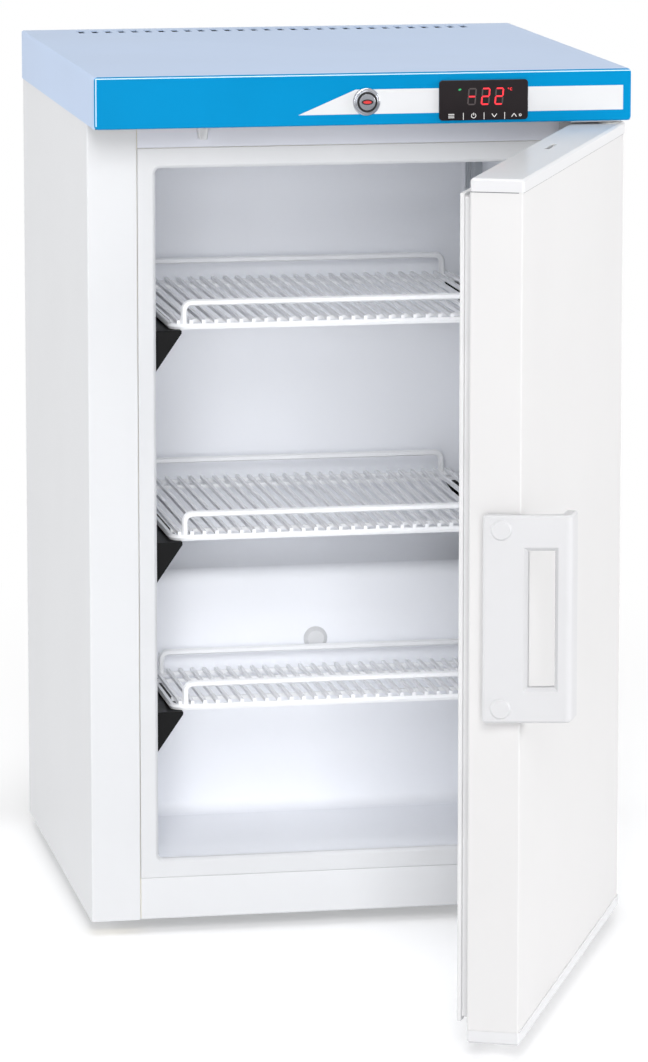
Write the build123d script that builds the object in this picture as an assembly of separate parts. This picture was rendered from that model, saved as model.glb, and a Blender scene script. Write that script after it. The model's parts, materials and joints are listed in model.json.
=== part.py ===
from build123d import *
import os
from math import atan2, cos, degrees, radians

# Undercounter laboratory freezer, in millimetres. The origin is on the floor, midway across
# the cabinet and midway between its back and the handle of the open door. +X is to the right
# of someone facing the door, +Y runs to the back of the cabinet and +Z is up. The door stands
# open by DOOR_OPEN degrees.

# Cabinet body
CABINET_WIDTH = 448.0
CABINET_DEPTH = 414.0
CABINET_HEIGHT = 678.0
ORIGIN_TO_BACK = 436.6
SHEET = 1.0
BEND = 1.5
STILE_WIDTH = 42.0
STILE_RETURN = 8.0
REAR_FLANGE = 12.0
EAR_HEIGHT = 36.0
EAR_INSET = 6.0
PLINTH_HEIGHT = 36.0
CROSSMEMBER_HEIGHT = 21.6
RETURN_DEPTH = 17.0
PART_GAP = 0.2

# Feet
FOOT_HEIGHT = 12.0
FOOT_RADIUS = 15.0
FOOT_SIDE_INSET = 69.0
FOOT_FRONT_INSET = 86.0
FOOT_REAR_INSET = 30.0
FOOT_STEM_RADIUS = 5.0
FOOT_STEM_LENGTH = 6.0
FOOT_NECK_RADIUS = 9.0

# Opening, breaker frame and inner liner
OPENING_SIDE = 15.5
OPENING_SILL = 16.0
OPENING_HEAD = 17.1
FRAME_DEPTH = 7.0
FRAME_BEVEL = 2.5
FRAME_CORNER = 4.0
LINER_WALL = 2.0
LINER_FLANGE = 13.0
LINER_LIP = 1.8
LINER_CORNER = 12.0
LINER_SIDE_CORNER = 6.0
REAR_CHANNEL = 29.5
MACHINE_DEPTH = 188.5
STEP_HEIGHT = 216.0
REAR_FOAM = 58.0
STEP_FOAM = 49.0

# Evaporator wrapped round the liner behind the foam
EVAPORATOR_SHEET = 1.2
EVAPORATOR_ABOVE_STEP = 21.8
EVAPORATOR_BELOW_CEILING = 17.1
EVAPORATOR_FRONT_INSET = 30.0

# Top cover, fascia and the deck under them
COVER_HEIGHT = 43.0
COVER_LIP = 1.0
COVER_RADIUS = 2.0
FASCIA_THICKNESS = 3.0
FASCIA_CORNER = 3.5
FASCIA_EDGE = 1.0
DECK_UPTURN = 12.0
VENT_COUNT = 30
VENT_PITCH = 12.07
VENT_WIDTH = 6.0
VENT_LENGTH = 22.0
VENT_FROM_BACK = 31.0

# Band, controller and lock on the fascia
CONTROL_Z_FROM_TOP = 23.7
BAND_HEIGHT = 20.3
BAND_THICKNESS = 0.3
BAND_LEFT_LOW = -56.0
BAND_LEFT_HIGH = -8.0
BAND_RIGHT_INSET = 6.0
CONTROLLER_X = 99.2
CONTROLLER_WIDTH = 75.0
CONTROLLER_HEIGHT = 33.3
CONTROLLER_CORNER = 3.0
CONTROLLER_LENS = 1.6
CONTROLLER_RIM = 1.0
CONTROLLER_RIM_INSET = 0.6
CONTROLLER_BODY_WIDTH = 71.0
CONTROLLER_BODY_HEIGHT = 28.5
CONTROLLER_BODY_DEPTH = 55.0
LOCK_X = 1.0
LOCK_COLLAR_RADIUS = 11.5
LOCK_COLLAR_HEIGHT = 1.6
LOCK_RING_RADIUS = 9.2
LOCK_RING_HEIGHT = 2.2
LOCK_BARREL_RADIUS = 8.8
LOCK_BARREL_LENGTH = 23.0
LOCK_PLUG_RADIUS = 6.7
LOCK_RUNNING = 0.08
LOCK_PLUG_PROUD = 0.3
LOCK_NUT_ACROSS = 24.0
LOCK_NUT_HEIGHT = 4.0
CAM_REACH = 30.0
CAM_HALF_WIDTH = 7.0
CAM_THICKNESS = 2.5
CAM_SQUARE = 7.0
CAM_CLEARANCE = 1.2
KEYWAY_LENGTH = 8.0
KEYWAY_WIDTH = 1.6
KEYWAY_DEPTH = 12.0

# Door
DOOR_OPEN = 66.5
DOOR_THICKNESS = 40.4
DOOR_SETBACK = 3.0
DOOR_TOP_GAP = 3.0
DOOR_BOTTOM_GAP = 1.5
CAP_HEIGHT = 10.0
CAP_PROUD = 1.0
CAP_EDGE = 1.6
DOOR_RETURN = 12.0
DOOR_LINER_WALL = 2.0
PAN_RISE = 8.0
PAN_INSET = 40.0
PAN_CORNER = 18.0
PAN_SLOPE = 4.0
STRIKE_DEPTH = 9.0
MAGNET_SIZE = (20.0, 5.0, 6.0)

# Door gasket, from the foot on the door to the magnet head
GASKET_INSET = 12.0
GASKET_GAP = 0.5
GASKET_LAYERS = ((16.0, 0.0, 2.8), (8.0, 4.0, 4.4), (13.0, 1.0, 3.4))

# Handle on the free edge of the door
HANDLE_HEIGHT = 161.0
HANDLE_BOTTOM = 270.5
HANDLE_BEHIND = 26.8
HANDLE_REACH = 40.0
HANDLE_PLATE = 12.5
HANDLE_TAPER = 15.0
HANDLE_WALL = 9.0
HANDLE_BASE = 4.5
HANDLE_BASE_INSET = 4.0
HANDLE_GRIP = 10.0
HANDLE_GRIP_DEPTH = 26.0
HANDLE_SLOT_START = 7.0
HANDLE_SLOT_WIDTH = 20.0
HANDLE_SLOT_END = 27.5
HANDLE_SLOT_BEVEL = 3.0
HANDLE_NOSE = 7.0
HANDLE_EDGE = 2.0
HANDLE_CAP_RADIUS = 8.0
HANDLE_CAP_RISE = 2.0
HANDLE_CAP_BACK = 12.7
HANDLE_CAP_STEM = 1.6
HANDLE_SEAT = 3.0
HANDLE_SCREW_END = 11.2
HANDLE_SCREW_SHANK = 28.0

# Hinges
HINGE_SIDE_INSET = 15.0
HINGE_FACE_INSET = 10.5
HINGE_PLATE = 2.0
HINGE_PLATE_LEFT = 33.0
HINGE_PLATE_RIGHT = 10.0
HINGE_PLATE_FRONT = 4.0
HINGE_LEG = 13.5
HINGE_TAIL = 57.0
PIN_RADIUS = 4.0
PIN_LENGTH = 10.0
PIN_RUNNING = 0.06
BUSH_RADIUS = 6.5
BUSH_FLANGE_RADIUS = 9.0
BUSH_GAP = 0.3
HINGE_SCREW_STEP = 13.0
HINGE_SCREW_DROP = 7.0

# Screws
HEAD_RADIUS = 4.0
HEAD_HEIGHT = 2.4
SHANK_RADIUS = 2.2
SHANK_LENGTH = 12.0

# Door sensor on the crossmember
SENSOR_FROM_STILE = 54.3
SENSOR_WIDTH = 10.5
SENSOR_TIP = 6.5
SENSOR_HEIGHT = 14.5
SENSOR_DEPTH = 9.5
SENSOR_EDGE = 1.2

# Shelves, from the bottom one up
SHELF_ABOVE_FLOOR = 126.8
SHELF_ABOVE_STEP = 56.8
SHELF_BELOW_CEILING = 138.1
SHELF_FRONT_INSET = 23.5
SHELF_STEP_GAP = 10.0
SHELF_BACK_GAP = 20.0
SHELF_SIDE_GAP = 14.5
SHELF_CORNER = 11.0
FRAME_WIRE = 2.4
DECK_WIRE = 3.0
DECK_WIRE_PITCH = 10.65
DECK_SIDE_GAP = 8.0
CROSS_WIRE_INSET = 32.0
RAIL_RISE = 20.0
RAIL_WIRE = 2.4
RAIL_FROM_LAST_WIRE = 4.775
RAIL_CORNER = 6.0
WIRE_SIDES = 6

# Black runners under the shelves
RUNNER_REACH = 24.5
RUNNER_DROP = 38.0
RUNNER_RISE = 20.0
RUNNER_WALL = 2.4
RUNNER_FRONT_GAP = 4.0
RUNNER_BACK_GAP = 0.5
RUNNER_CLEARANCE = 0.3
RUNNER_PEG = 6.0
RUNNER_PEG_INSET = 30.0

# Small fittings inside the cavity
PLUG_CAP_RADIUS = 10.5
PLUG_CAP_RISE = 4.0
PLUG_STEM_RADIUS = 6.0
PLUG_STEM_LENGTH = 24.0
PLUG_BELOW_STEP = 64.0
GUARD_LENGTH = 32.0
GUARD_HEIGHT = 72.0
GUARD_DEPTH = 9.0
GUARD_WALL = 1.6
GUARD_EDGE = 3.0
GUARD_BELOW_CEILING = 14.0
GUARD_FROM_BACK = 28.0
GUARD_SLOTS = 3
GUARD_SLOT_WIDTH = 3.0
PROBE_RADIUS = 2.5
PROBE_LENGTH = 40.0

# Refrigeration parts in the machine compartment and the rear channel
COMPRESSOR_X = 70.0
COMPRESSOR_FROM_BACK = 95.0
COMPRESSOR_RADIUS = 62.0
COMPRESSOR_HEIGHT = 144.0
COMPRESSOR_SEAM = 3.0
MOUNT_HALF_WIDTH = 85.0
MOUNT_HALF_DEPTH = 40.0
MOUNT_PLATE = 2.5
GROMMET_RADIUS = 10.0
GROMMET_HEIGHT = 18.0
BOLT_RADIUS = 3.0
RELAY_SIZE = (36.0, 46.0, 44.0)
RELAY_EDGE = 3.0
CONDENSER_FROM_BACK = 15.0
CONDENSER_TUBE = 2.5
CONDENSER_PITCH = 52.5
CONDENSER_BELOW_TOP = 18.0
CONDENSER_FOOT_ROOM = 20.0
CONDENSER_SIDE_ROOM = 44.0
CONDENSER_BEND = 18.0
CONDENSER_WIRE = 1.6
CONDENSER_WIRES = 16
RISER_SIDE_ROOM = 19.0
RISER_BOTTOM = 150.0
DRIER_X = -90.0
DRIER_RADIUS = 9.0
DRIER_LENGTH = 94.0
DRIER_TOP = 214.0
CLIP_WIDTH = 12.0
CLIP_HEIGHT = 16.0
CLIP_LIP = 4.0
DISCHARGE_RADIUS = 3.0
DISCHARGE_RUN = 40.0
SUCTION_RADIUS = 3.5
SUCTION_RUN = 18.0
CAPILLARY_RADIUS = 1.2
CAPILLARY_DROP = 25.0
CAPILLARY_FROM_WALL = 40.0
TUBE_GAP = 0.3
GLAND_SIDE_INSET = 64.0
GLAND_Z = 32.0
GLAND_RADIUS = 8.0
GLAND_FLANGE = 10.5
GLAND_BORE = 4.0
GLAND_LENGTH = 8.0
GLAND_TAB_WIDTH = 50.0
GLAND_TAB_HEIGHT = 36.0

# Places worked out from the sizes
HALF_WIDTH = CABINET_WIDTH / 2
BACK = ORIGIN_TO_BACK
FRONT = BACK - CABINET_DEPTH
BASE = FOOT_HEIGHT
BODY_TOP = BASE + CABINET_HEIGHT
TOP = BODY_TOP + COVER_HEIGHT
INSIDE_HALF = HALF_WIDTH - SHEET
STILE_EDGE = HALF_WIDTH - STILE_WIDTH
FOOT_X = HALF_WIDTH - FOOT_SIDE_INSET
FRAME_LOW = BASE + PLINTH_HEIGHT
FRAME_HIGH = BODY_TOP - CROSSMEMBER_HEIGHT
OPENING_HALF = STILE_EDGE - OPENING_SIDE
OPENING_LOW = FRAME_LOW + OPENING_SILL
OPENING_HIGH = FRAME_HIGH - OPENING_HEAD
LINER_FRONT = FRONT + FRAME_DEPTH
CAVITY_FLOOR = OPENING_LOW - LINER_LIP
CAVITY_CEILING = OPENING_HIGH + LINER_LIP
REAR_PANEL_Y = BACK - REAR_CHANNEL
CAVITY_BACK = REAR_PANEL_Y - SHEET - REAR_FOAM - LINER_WALL
MACHINE_FRONT = BACK - MACHINE_DEPTH
STEP_FRONT = MACHINE_FRONT - SHEET - STEP_FOAM - LINER_WALL
STEP_TOP = CAVITY_FLOOR + STEP_HEIGHT
MACHINE_TOP = STEP_TOP - LINER_WALL - STEP_FOAM - SHEET
EVAPORATOR_BOTTOM = STEP_TOP + EVAPORATOR_ABOVE_STEP
EVAPORATOR_TOP = CAVITY_CEILING - EVAPORATOR_BELOW_CEILING
PAN_TOP = BASE + SHEET + PART_GAP
GASKET_HEIGHT = sum(layer[2] for layer in GASKET_LAYERS)
DOOR_BACK = FRONT - GASKET_GAP - GASKET_HEIGHT
DOOR_FACE = DOOR_BACK - DOOR_THICKNESS
FASCIA_Y = DOOR_FACE - DOOR_SETBACK
FASCIA_BACK = FASCIA_Y + FASCIA_THICKNESS
COVER_HALF = HALF_WIDTH + COVER_LIP
DOOR_TOP = BODY_TOP - DOOR_TOP_GAP
DOOR_BOTTOM = BASE + DOOR_BOTTOM_GAP
SKIN_TOP = DOOR_TOP - CAP_HEIGHT
SKIN_BOTTOM = DOOR_BOTTOM + CAP_HEIGHT
HINGE_X = HALF_WIDTH - HINGE_SIDE_INSET
HINGE_Y = DOOR_FACE + HINGE_FACE_INSET
PLATE_X = (HINGE_X - HINGE_PLATE_LEFT, HINGE_X + HINGE_PLATE_RIGHT)
PLATE_Y = HINGE_Y - HINGE_PLATE_FRONT
CONTROL_Z = TOP - CONTROL_Z_FROM_TOP
CAM_Y = FASCIA_Y + LOCK_BARREL_LENGTH + CAM_CLEARANCE
BAND_RIGHT = HALF_WIDTH - BAND_RIGHT_INSET
SENSOR_X = SENSOR_FROM_STILE - STILE_EDGE
SHELF_FRONT = FRONT + SHELF_FRONT_INSET
SHELF_LEVELS = (CAVITY_FLOOR + SHELF_ABOVE_FLOOR, STEP_TOP + SHELF_ABOVE_STEP,
                CAVITY_CEILING - SHELF_BELOW_CEILING)
LONG_SHELF = CAVITY_BACK - SHELF_BACK_GAP - SHELF_FRONT
SHELF_DEPTHS = (STEP_FRONT - SHELF_STEP_GAP - SHELF_FRONT, LONG_SHELF, LONG_SHELF)
SHELF_HALF_WIDTH = OPENING_HALF - SHELF_SIDE_GAP
DECK_WIRES = int(2 * (SHELF_HALF_WIDTH - DECK_SIDE_GAP) / DECK_WIRE_PITCH) + 1
LAST_WIRE_X = (DECK_WIRES - 1) * DECK_WIRE_PITCH / 2
RAIL_HALF_WIDTH = LAST_WIRE_X - RAIL_FROM_LAST_WIRE
CONDENSER_Y = BACK - CONDENSER_FROM_BACK
CONDENSER_TOP = BODY_TOP - CONDENSER_BELOW_TOP
CONDENSER_HEIGHT = CONDENSER_TOP - MACHINE_TOP - CONDENSER_FOOT_ROOM
CONDENSER_PASSES = 2 * int(CONDENSER_HEIGHT / (2 * CONDENSER_PITCH)) + 1
CONDENSER_HALF_WIDTH = HALF_WIDTH - CONDENSER_SIDE_ROOM
CONDENSER_REACH = CONDENSER_HALF_WIDTH - CONDENSER_BEND
CONDENSER_STEP = 2 * CONDENSER_REACH / (CONDENSER_WIRES - 1)
CLIP_X = CONDENSER_REACH - CONDENSER_STEP / 2
RISER_X = HALF_WIDTH - RISER_SIDE_ROOM
GLAND_X = GLAND_SIDE_INSET - HALF_WIDTH
COMPRESSOR_Y = BACK - COMPRESSOR_FROM_BACK
MOUNT_Z = PAN_TOP + GROMMET_HEIGHT
SHELL_BOTTOM = MOUNT_Z + MOUNT_PLATE
HANDLE_MIDDLE = HANDLE_BOTTOM + HANDLE_HEIGHT / 2
HANDLE_SLOT_HEIGHT = HANDLE_HEIGHT - 2 * HANDLE_SLOT_END
HANDLE_SCREW_SPACING = HANDLE_HEIGHT - 2 * HANDLE_SCREW_END
CORNER_CUT = 2 - 2**0.5


def block(x, y, z):
    """Solid between a low and a high bound on each axis."""
    sizes = [high - low for low, high in (x, y, z)]
    middles = [(low + high) / 2 for low, high in (x, y, z)]
    return Pos(*middles) * Box(*sizes)


def both(half):
    """Bounds of a width that is centred on zero."""
    return -half, half


def around(middle, size):
    """Bounds of a size about a middle."""
    return middle - size / 2, middle + size / 2


def edges_at(shape, axis, place):
    """Edges of a shape that lie at one place along an axis."""
    return shape.edges().filter_by_position(axis, place - 0.01, place + 0.01)


def rod(start, end, radius):
    """Round bar from one point to another."""
    way = Vector(*end) - Vector(*start)
    plane = Plane(origin=start, z_dir=way)
    return extrude(plane * Circle(radius), way.length)


def folded(points, side, thickness=SHEET, bend=BEND):
    """Face of a sheet folded along a line of points, with its thickness to one side."""
    return make_face(offset(FilletPolyline(*points, radius=bend), thickness, side=side))


def along_x(face, x):
    """Runs a face drawn as (y, z) between two places on X."""
    return Pos(x[0], 0, 0) * extrude(Plane.YZ * face, x[1] - x[0])


def along_y(face, y):
    """Runs a face drawn as (x, z) between two places on Y."""
    return Pos(0, y[1], 0) * extrude(Plane.XZ * face, y[1] - y[0])


def along_z(face, z):
    """Runs a face drawn as (x, y) between two places on Z."""
    return Pos(0, 0, z[0]) * extrude(face, z[1] - z[0])


def wire_along(path, radius, across=(0, 1, 0)):
    """Wire or tube along a path, with flats square to a direction where others rest on it."""
    start = Plane(origin=path @ 0, x_dir=across, z_dir=path % 0)
    section = RegularPolygon(radius, WIRE_SIDES, major_radius=False, rotation=180 / WIRE_SIDES)
    return sweep(start * section, path)


def bent_rod(points, radius, bend, across=(0, 1, 0)):
    """Wire or tube that follows straight runs joined by arcs."""
    return wire_along(FilletPolyline(*points, radius=bend), radius, across)


def screw(shank=SHANK_LENGTH):
    """Hexagon-head screw with its shank along -Z from the underside of the head."""
    head = extrude(RegularPolygon(HEAD_RADIUS, 6), HEAD_HEIGHT)
    return head + Pos(0, 0, -shank / 2) * Cylinder(SHANK_RADIUS, shank)


def shank_hole(length=SHANK_LENGTH):
    """Room for a screw's shank, laid out as the screw is."""
    return Pos(0, 0, -length / 2) * Cylinder(SHANK_RADIUS, length)


def opened(shape):
    """Turns a piece of the closed door about the hinge to where the door stands."""
    return shape.rotate(Axis((HINGE_X, HINGE_Y, 0), (0, 0, 1)), DOOR_OPEN)


def hinge_screw_places():
    """Top hinge screws in the stile, heads to the front, then bottom ones from below."""
    low = HINGE_X - HINGE_SCREW_STEP
    top_z = BODY_TOP - HINGE_SCREW_DROP
    top = [Pos(low + i * HINGE_SCREW_STEP - PIN_RADIUS, FRONT - HINGE_PLATE, top_z) * Rot(90, 0, 0)
           for i in range(3)]
    tail = FRONT + HINGE_TAIL
    below = [Pos(HINGE_X - HINGE_SCREW_STEP, tail - i * HINGE_SCREW_STEP * 1.5 - HEAD_RADIUS * 2,
                 BASE - HINGE_PLATE) * Rot(180, 0, 0)
             for i in range(2)]
    return top, below


def foot_places():
    """Centres of the four feet."""
    front = FRONT + FOOT_FRONT_INSET
    rear = BACK - FOOT_REAR_INSET
    return [(x, y) for x in (-FOOT_X, FOOT_X) for y in (front, rear)]


def foot_stems():
    """Stems of the feet, which press through the base pan."""
    top = BASE + FOOT_STEM_LENGTH
    return [rod((x, y, BASE), (x, y, top), FOOT_STEM_RADIUS) for x, y in foot_places()]


def side_panel(right):
    """Outer side, folded from one sheet with its rear flange, front stile and stile return."""
    x = -HALF_WIDTH
    line = [(x + REAR_FLANGE, BACK), (x, BACK), (x, FRONT), (x + STILE_WIDTH, FRONT),
            (x + STILE_WIDTH, FRONT + STILE_RETURN)]
    panel = along_z(folded(line, Side.LEFT), (BASE, BODY_TOP))
    ear_y = (FRONT + EAR_INSET, BACK - EAR_INSET)
    panel += block((x, x + SHEET), ear_y, (BODY_TOP, BODY_TOP + EAR_HEIGHT))
    if not right:
        return panel
    top, _ = hinge_screw_places()
    return mirror(panel, about=Plane.YZ) - [place * shank_hole() for place in top]


def front_plinth():
    """Strip below the opening, folded back at its top and bottom."""
    line = [(FRONT + STILE_RETURN, FRAME_LOW), (FRONT, FRAME_LOW), (FRONT, BASE),
            (FRONT + RETURN_DEPTH, BASE)]
    return along_x(folded(line, Side.LEFT), both(STILE_EDGE - PART_GAP))


def upper_crossmember():
    """Strip above the opening that the gasket's top run closes on."""
    line = [(FRONT + STILE_RETURN, FRAME_HIGH), (FRONT, FRAME_HIGH), (FRONT, BODY_TOP),
            (FRONT + RETURN_DEPTH, BODY_TOP)]
    return along_x(folded(line, Side.RIGHT), both(STILE_EDGE - PART_GAP))


def base_pan():
    """Floor of the cabinet, turned up at both sides, with a spot-welded tab for the cord gland."""
    half = INSIDE_HALF - PART_GAP
    upturn = PAN_TOP + RETURN_DEPTH
    y = (FRONT + RETURN_DEPTH + PART_GAP, BACK - SHEET - PART_GAP)
    line = [(-half, upturn), (-half, BASE), (half, BASE), (half, upturn)]
    pan = along_y(folded(line, Side.LEFT), y)
    tab_y = BACK - GLAND_LENGTH / 2 - SHEET
    tab = block(around(GLAND_X, GLAND_TAB_WIDTH), (tab_y, tab_y + SHEET),
                (BASE + SHEET, BASE + GLAND_TAB_HEIGHT))
    tab -= rod((GLAND_X, tab_y - SHEET, GLAND_Z), (GLAND_X, BACK, GLAND_Z), GLAND_RADIUS)
    _, below = hinge_screw_places()
    pan = pan - foot_stems() - [place * shank_hole() for place in below]
    return Compound(children=[pan, tab])


def rear_panel():
    """Back sheet that steps forward over and in front of the machine compartment."""
    line = [(REAR_PANEL_Y, BODY_TOP), (REAR_PANEL_Y, MACHINE_TOP), (MACHINE_FRONT, MACHINE_TOP),
            (MACHINE_FRONT, PAN_TOP)]
    return along_x(folded(line, Side.RIGHT), both(INSIDE_HALF - SHEET - 2 * PART_GAP))


def frame_face(inset):
    """Outline of the breaker frame's opening, made smaller by an inset."""
    width = 2 * (OPENING_HALF - inset)
    height = OPENING_HIGH - OPENING_LOW - 2 * inset
    return Pos(0, (OPENING_LOW + OPENING_HIGH) / 2) * RectangleRounded(width, height, FRAME_CORNER)


def breaker_frame():
    """White plastic frame between the steel front and the liner, bevelled at its opening."""
    outer = block(both(STILE_EDGE - PART_GAP), (FRONT, LINER_FRONT), (FRAME_LOW, FRAME_HIGH))
    hole = along_y(frame_face(0), (FRONT - 1, LINER_FRONT + 1))
    frame = outer - hole
    inner = [edge for edge in edges_at(frame, Axis.Y, FRONT)
             if abs(edge.center().X) < OPENING_HALF + 1
             and OPENING_LOW - 1 < edge.center().Z < OPENING_HIGH + 1]
    return chamfer(inner, FRAME_BEVEL)


def cavity(grow):
    """Stepped inside of the cabinet, or its outside when grown by a wall, with cut corners there."""
    floor, ceiling = CAVITY_FLOOR - grow, CAVITY_CEILING + grow
    step_y, step_z, back = STEP_FRONT + grow, STEP_TOP - grow, CAVITY_BACK + grow
    corners = [(LINER_FRONT, floor), (step_y, floor), (step_y, step_z), (back, step_z),
               (back, ceiling), (LINER_FRONT, ceiling)]
    face = make_face(Polyline(*corners, close=True))
    for index in (1, 2, 3, 4):
        radius = LINER_CORNER - grow if index == 2 else LINER_CORNER + grow
        corner = face.vertices().sort_by_distance(corners[index])[0]
        face = chamfer(corner, radius * CORNER_CUT) if grow else fillet(corner, radius)
    half = OPENING_HALF + grow
    room = along_x(face, both(half))
    sides = [edge for edge in room.edges()
             if abs(abs(edge.center().X) - half) < 0.01 and edge.center().Y > LINER_FRONT + 0.1]
    if grow:
        return chamfer(sides, (LINER_SIDE_CORNER + grow) * CORNER_CUT)
    return fillet(sides, LINER_SIDE_CORNER)


def plug_place():
    """Centre of the access plug, on the front face of the step."""
    return 0.0, STEP_FRONT, STEP_TOP - PLUG_BELOW_STEP


def plug_stem():
    """Stem of the access plug, through the liner and into the foam."""
    x, y, z = plug_place()
    return rod((x, y, z), (x, y + PLUG_STEM_LENGTH, z), PLUG_STEM_RADIUS)


def inner_liner():
    """Vacuum-formed liner with the step for the machine compartment and its front flange."""
    flange = block(both(OPENING_HALF + LINER_FLANGE), (LINER_FRONT, LINER_FRONT + LINER_WALL),
                   (CAVITY_FLOOR - LINER_FLANGE, CAVITY_CEILING + LINER_FLANGE))
    return flange + cavity(LINER_WALL) - cavity(0) - plug_stem() - runner_pegs()


def evaporator_panel():
    """Evaporator sheet wrapped round the sides and back of the upper liner."""
    band = block(both(HALF_WIDTH), (LINER_FRONT + EVAPORATOR_FRONT_INSET, BACK),
                 (EVAPORATOR_BOTTOM, EVAPORATOR_TOP))
    wrap = cavity(LINER_WALL + EVAPORATOR_SHEET) - cavity(LINER_WALL)
    return wrap & band


def foam_insulation():
    """Foamed-in insulation that fills the cabinet round the liner."""
    foam = block(both(INSIDE_HALF), (FRONT + SHEET, REAR_PANEL_Y - SHEET), (PAN_TOP, BODY_TOP))
    foam -= block(both(INSIDE_HALF), (MACHINE_FRONT - SHEET, BACK), (PAN_TOP, MACHINE_TOP + SHEET))
    foam -= block(both(STILE_EDGE), (FRONT, LINER_FRONT), (FRAME_LOW, FRAME_HIGH))
    foam -= block(both(OPENING_HALF + LINER_FLANGE), (LINER_FRONT, LINER_FRONT + LINER_WALL),
                  (CAVITY_FLOOR - LINER_FLANGE, CAVITY_CEILING + LINER_FLANGE))
    foam -= cavity(LINER_WALL)
    top, below = hinge_screw_places()
    foam -= [side_panel(False), side_panel(True), front_plinth(), upper_crossmember(), base_pan(),
             rear_panel(), evaporator_panel(), plug_stem()]
    return foam - foot_stems() - [place * shank_hole() for place in top + below]


def top_deck():
    """Sheet over the foam that runs forward under the fascia, with the slot for the lock cam."""
    half = INSIDE_HALF - PART_GAP
    upturn = BODY_TOP + DECK_UPTURN
    line = [(-half, upturn), (-half, BODY_TOP), (half, BODY_TOP), (half, upturn)]
    deck = along_y(folded(line, Side.LEFT), (FRONT, REAR_PANEL_Y))
    deck += block(both(HALF_WIDTH - PART_GAP), (FASCIA_BACK, FRONT + SHEET),
                  (BODY_TOP, BODY_TOP + SHEET))
    return deck - cam_slot(BODY_TOP - SHEET, BODY_TOP + 2 * SHEET)


def cam_slot(low, high):
    """Room that the turning cam needs between two heights."""
    x = (LOCK_X - CAM_HALF_WIDTH - CAM_CLEARANCE, LOCK_X + CAM_REACH)
    y = (CAM_Y - CAM_CLEARANCE / 2, CAM_Y + CAM_THICKNESS + CAM_CLEARANCE / 2)
    return block(x, y, (low, high))


def top_cover():
    """Folded lid with a row of vent slots near its back edge, open to the front and below."""
    y = (FASCIA_BACK, BACK)
    lid = block(both(COVER_HALF), y, (BODY_TOP, TOP))
    rounded = [edge for edge in lid.edges()
               if edge.center().Y > FASCIA_BACK + 1 and edge.center().Z > BODY_TOP + 1]
    lid = fillet(rounded, COVER_RADIUS)
    lid -= block(both(COVER_HALF - SHEET), (FASCIA_BACK - 1, BACK - SHEET),
                 (BODY_TOP - 1, TOP - SHEET))
    first = -(VENT_COUNT - 1) * VENT_PITCH / 2
    vents = [block(around(first + i * VENT_PITCH, VENT_WIDTH),
                   around(BACK - VENT_FROM_BACK, VENT_LENGTH), (TOP - 2 * SHEET, TOP + SHEET))
             for i in range(VENT_COUNT)]
    return lid - vents


def fascia_panel():
    """Blue front panel, cut through for the lock and the controller."""
    face = Pos(0, (BODY_TOP + TOP) / 2) * RectangleRounded(2 * COVER_HALF, COVER_HEIGHT,
                                                           FASCIA_CORNER)
    panel = along_y(face, (FASCIA_Y, FASCIA_BACK))
    panel = chamfer(edges_at(panel, Axis.Y, FASCIA_Y), FASCIA_EDGE)
    return panel - controller_body() - lock_tube(LOCK_BARREL_RADIUS)


def fascia_band():
    """Plain pale band on the fascia, with a slanted left end."""
    low, high = around(CONTROL_Z, BAND_HEIGHT)
    face = make_face(Polyline((BAND_LEFT_LOW, low), (BAND_RIGHT, low), (BAND_RIGHT, high),
                              (BAND_LEFT_HIGH, high), close=True))
    band = along_y(face, (FASCIA_Y - BAND_THICKNESS, FASCIA_Y))
    band -= block(around(CONTROLLER_X, CONTROLLER_WIDTH), (FASCIA_Y - 1, FASCIA_Y),
                  around(CONTROL_Z, CONTROLLER_HEIGHT))
    return band - lock_tube(LOCK_BARREL_RADIUS)


def controller_body():
    """Room of the controller's case behind the fascia."""
    return block(around(CONTROLLER_X, CONTROLLER_BODY_WIDTH),
                 (FASCIA_Y, FASCIA_Y + CONTROLLER_BODY_DEPTH),
                 around(CONTROL_Z, CONTROLLER_BODY_HEIGHT))


def rounded_plate(width, height, corner, y):
    """Plate with rounded corners in front of the fascia, about the controller's middle."""
    face = Pos(CONTROLLER_X, CONTROL_Z) * RectangleRounded(width, height, corner)
    return along_y(face, y)


def controller_housing():
    """Controller case with the rim that rests on the fascia."""
    rim = rounded_plate(CONTROLLER_WIDTH - 2 * CONTROLLER_RIM_INSET,
                        CONTROLLER_HEIGHT - 2 * CONTROLLER_RIM_INSET,
                        CONTROLLER_CORNER - CONTROLLER_RIM_INSET,
                        (FASCIA_Y - CONTROLLER_RIM, FASCIA_Y))
    return rim + controller_body()


def controller_lens():
    """Dark front of the controller, over the display and the touch keys."""
    front = FASCIA_Y - CONTROLLER_RIM - CONTROLLER_LENS
    lens = rounded_plate(CONTROLLER_WIDTH, CONTROLLER_HEIGHT, CONTROLLER_CORNER,
                         (front, FASCIA_Y - CONTROLLER_RIM))
    return chamfer(edges_at(lens, Axis.Y, front), CONTROLLER_LENS / 3)


def lock_tube(radius, front=FASCIA_Y - 1, back=FASCIA_Y + LOCK_BARREL_LENGTH):
    """Round bar on the lock's axis."""
    return rod((LOCK_X, front, CONTROL_Z), (LOCK_X, back, CONTROL_Z), radius)


def lock_barrel():
    """Fixed part of the cam lock: collar, ring and threaded shank with the bore for the plug."""
    seat = FASCIA_Y - BAND_THICKNESS
    ring = seat - LOCK_COLLAR_HEIGHT
    front = ring - LOCK_RING_HEIGHT
    barrel = lock_tube(LOCK_COLLAR_RADIUS, ring, seat)
    barrel = chamfer(barrel.edges().sort_by(Axis.Y)[0], LOCK_COLLAR_HEIGHT / 2)
    barrel += lock_tube(LOCK_RING_RADIUS, front, ring)
    barrel += lock_tube(LOCK_BARREL_RADIUS, seat)
    return barrel - lock_tube(LOCK_PLUG_RADIUS + LOCK_RUNNING, front - 1, BACK)


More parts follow.
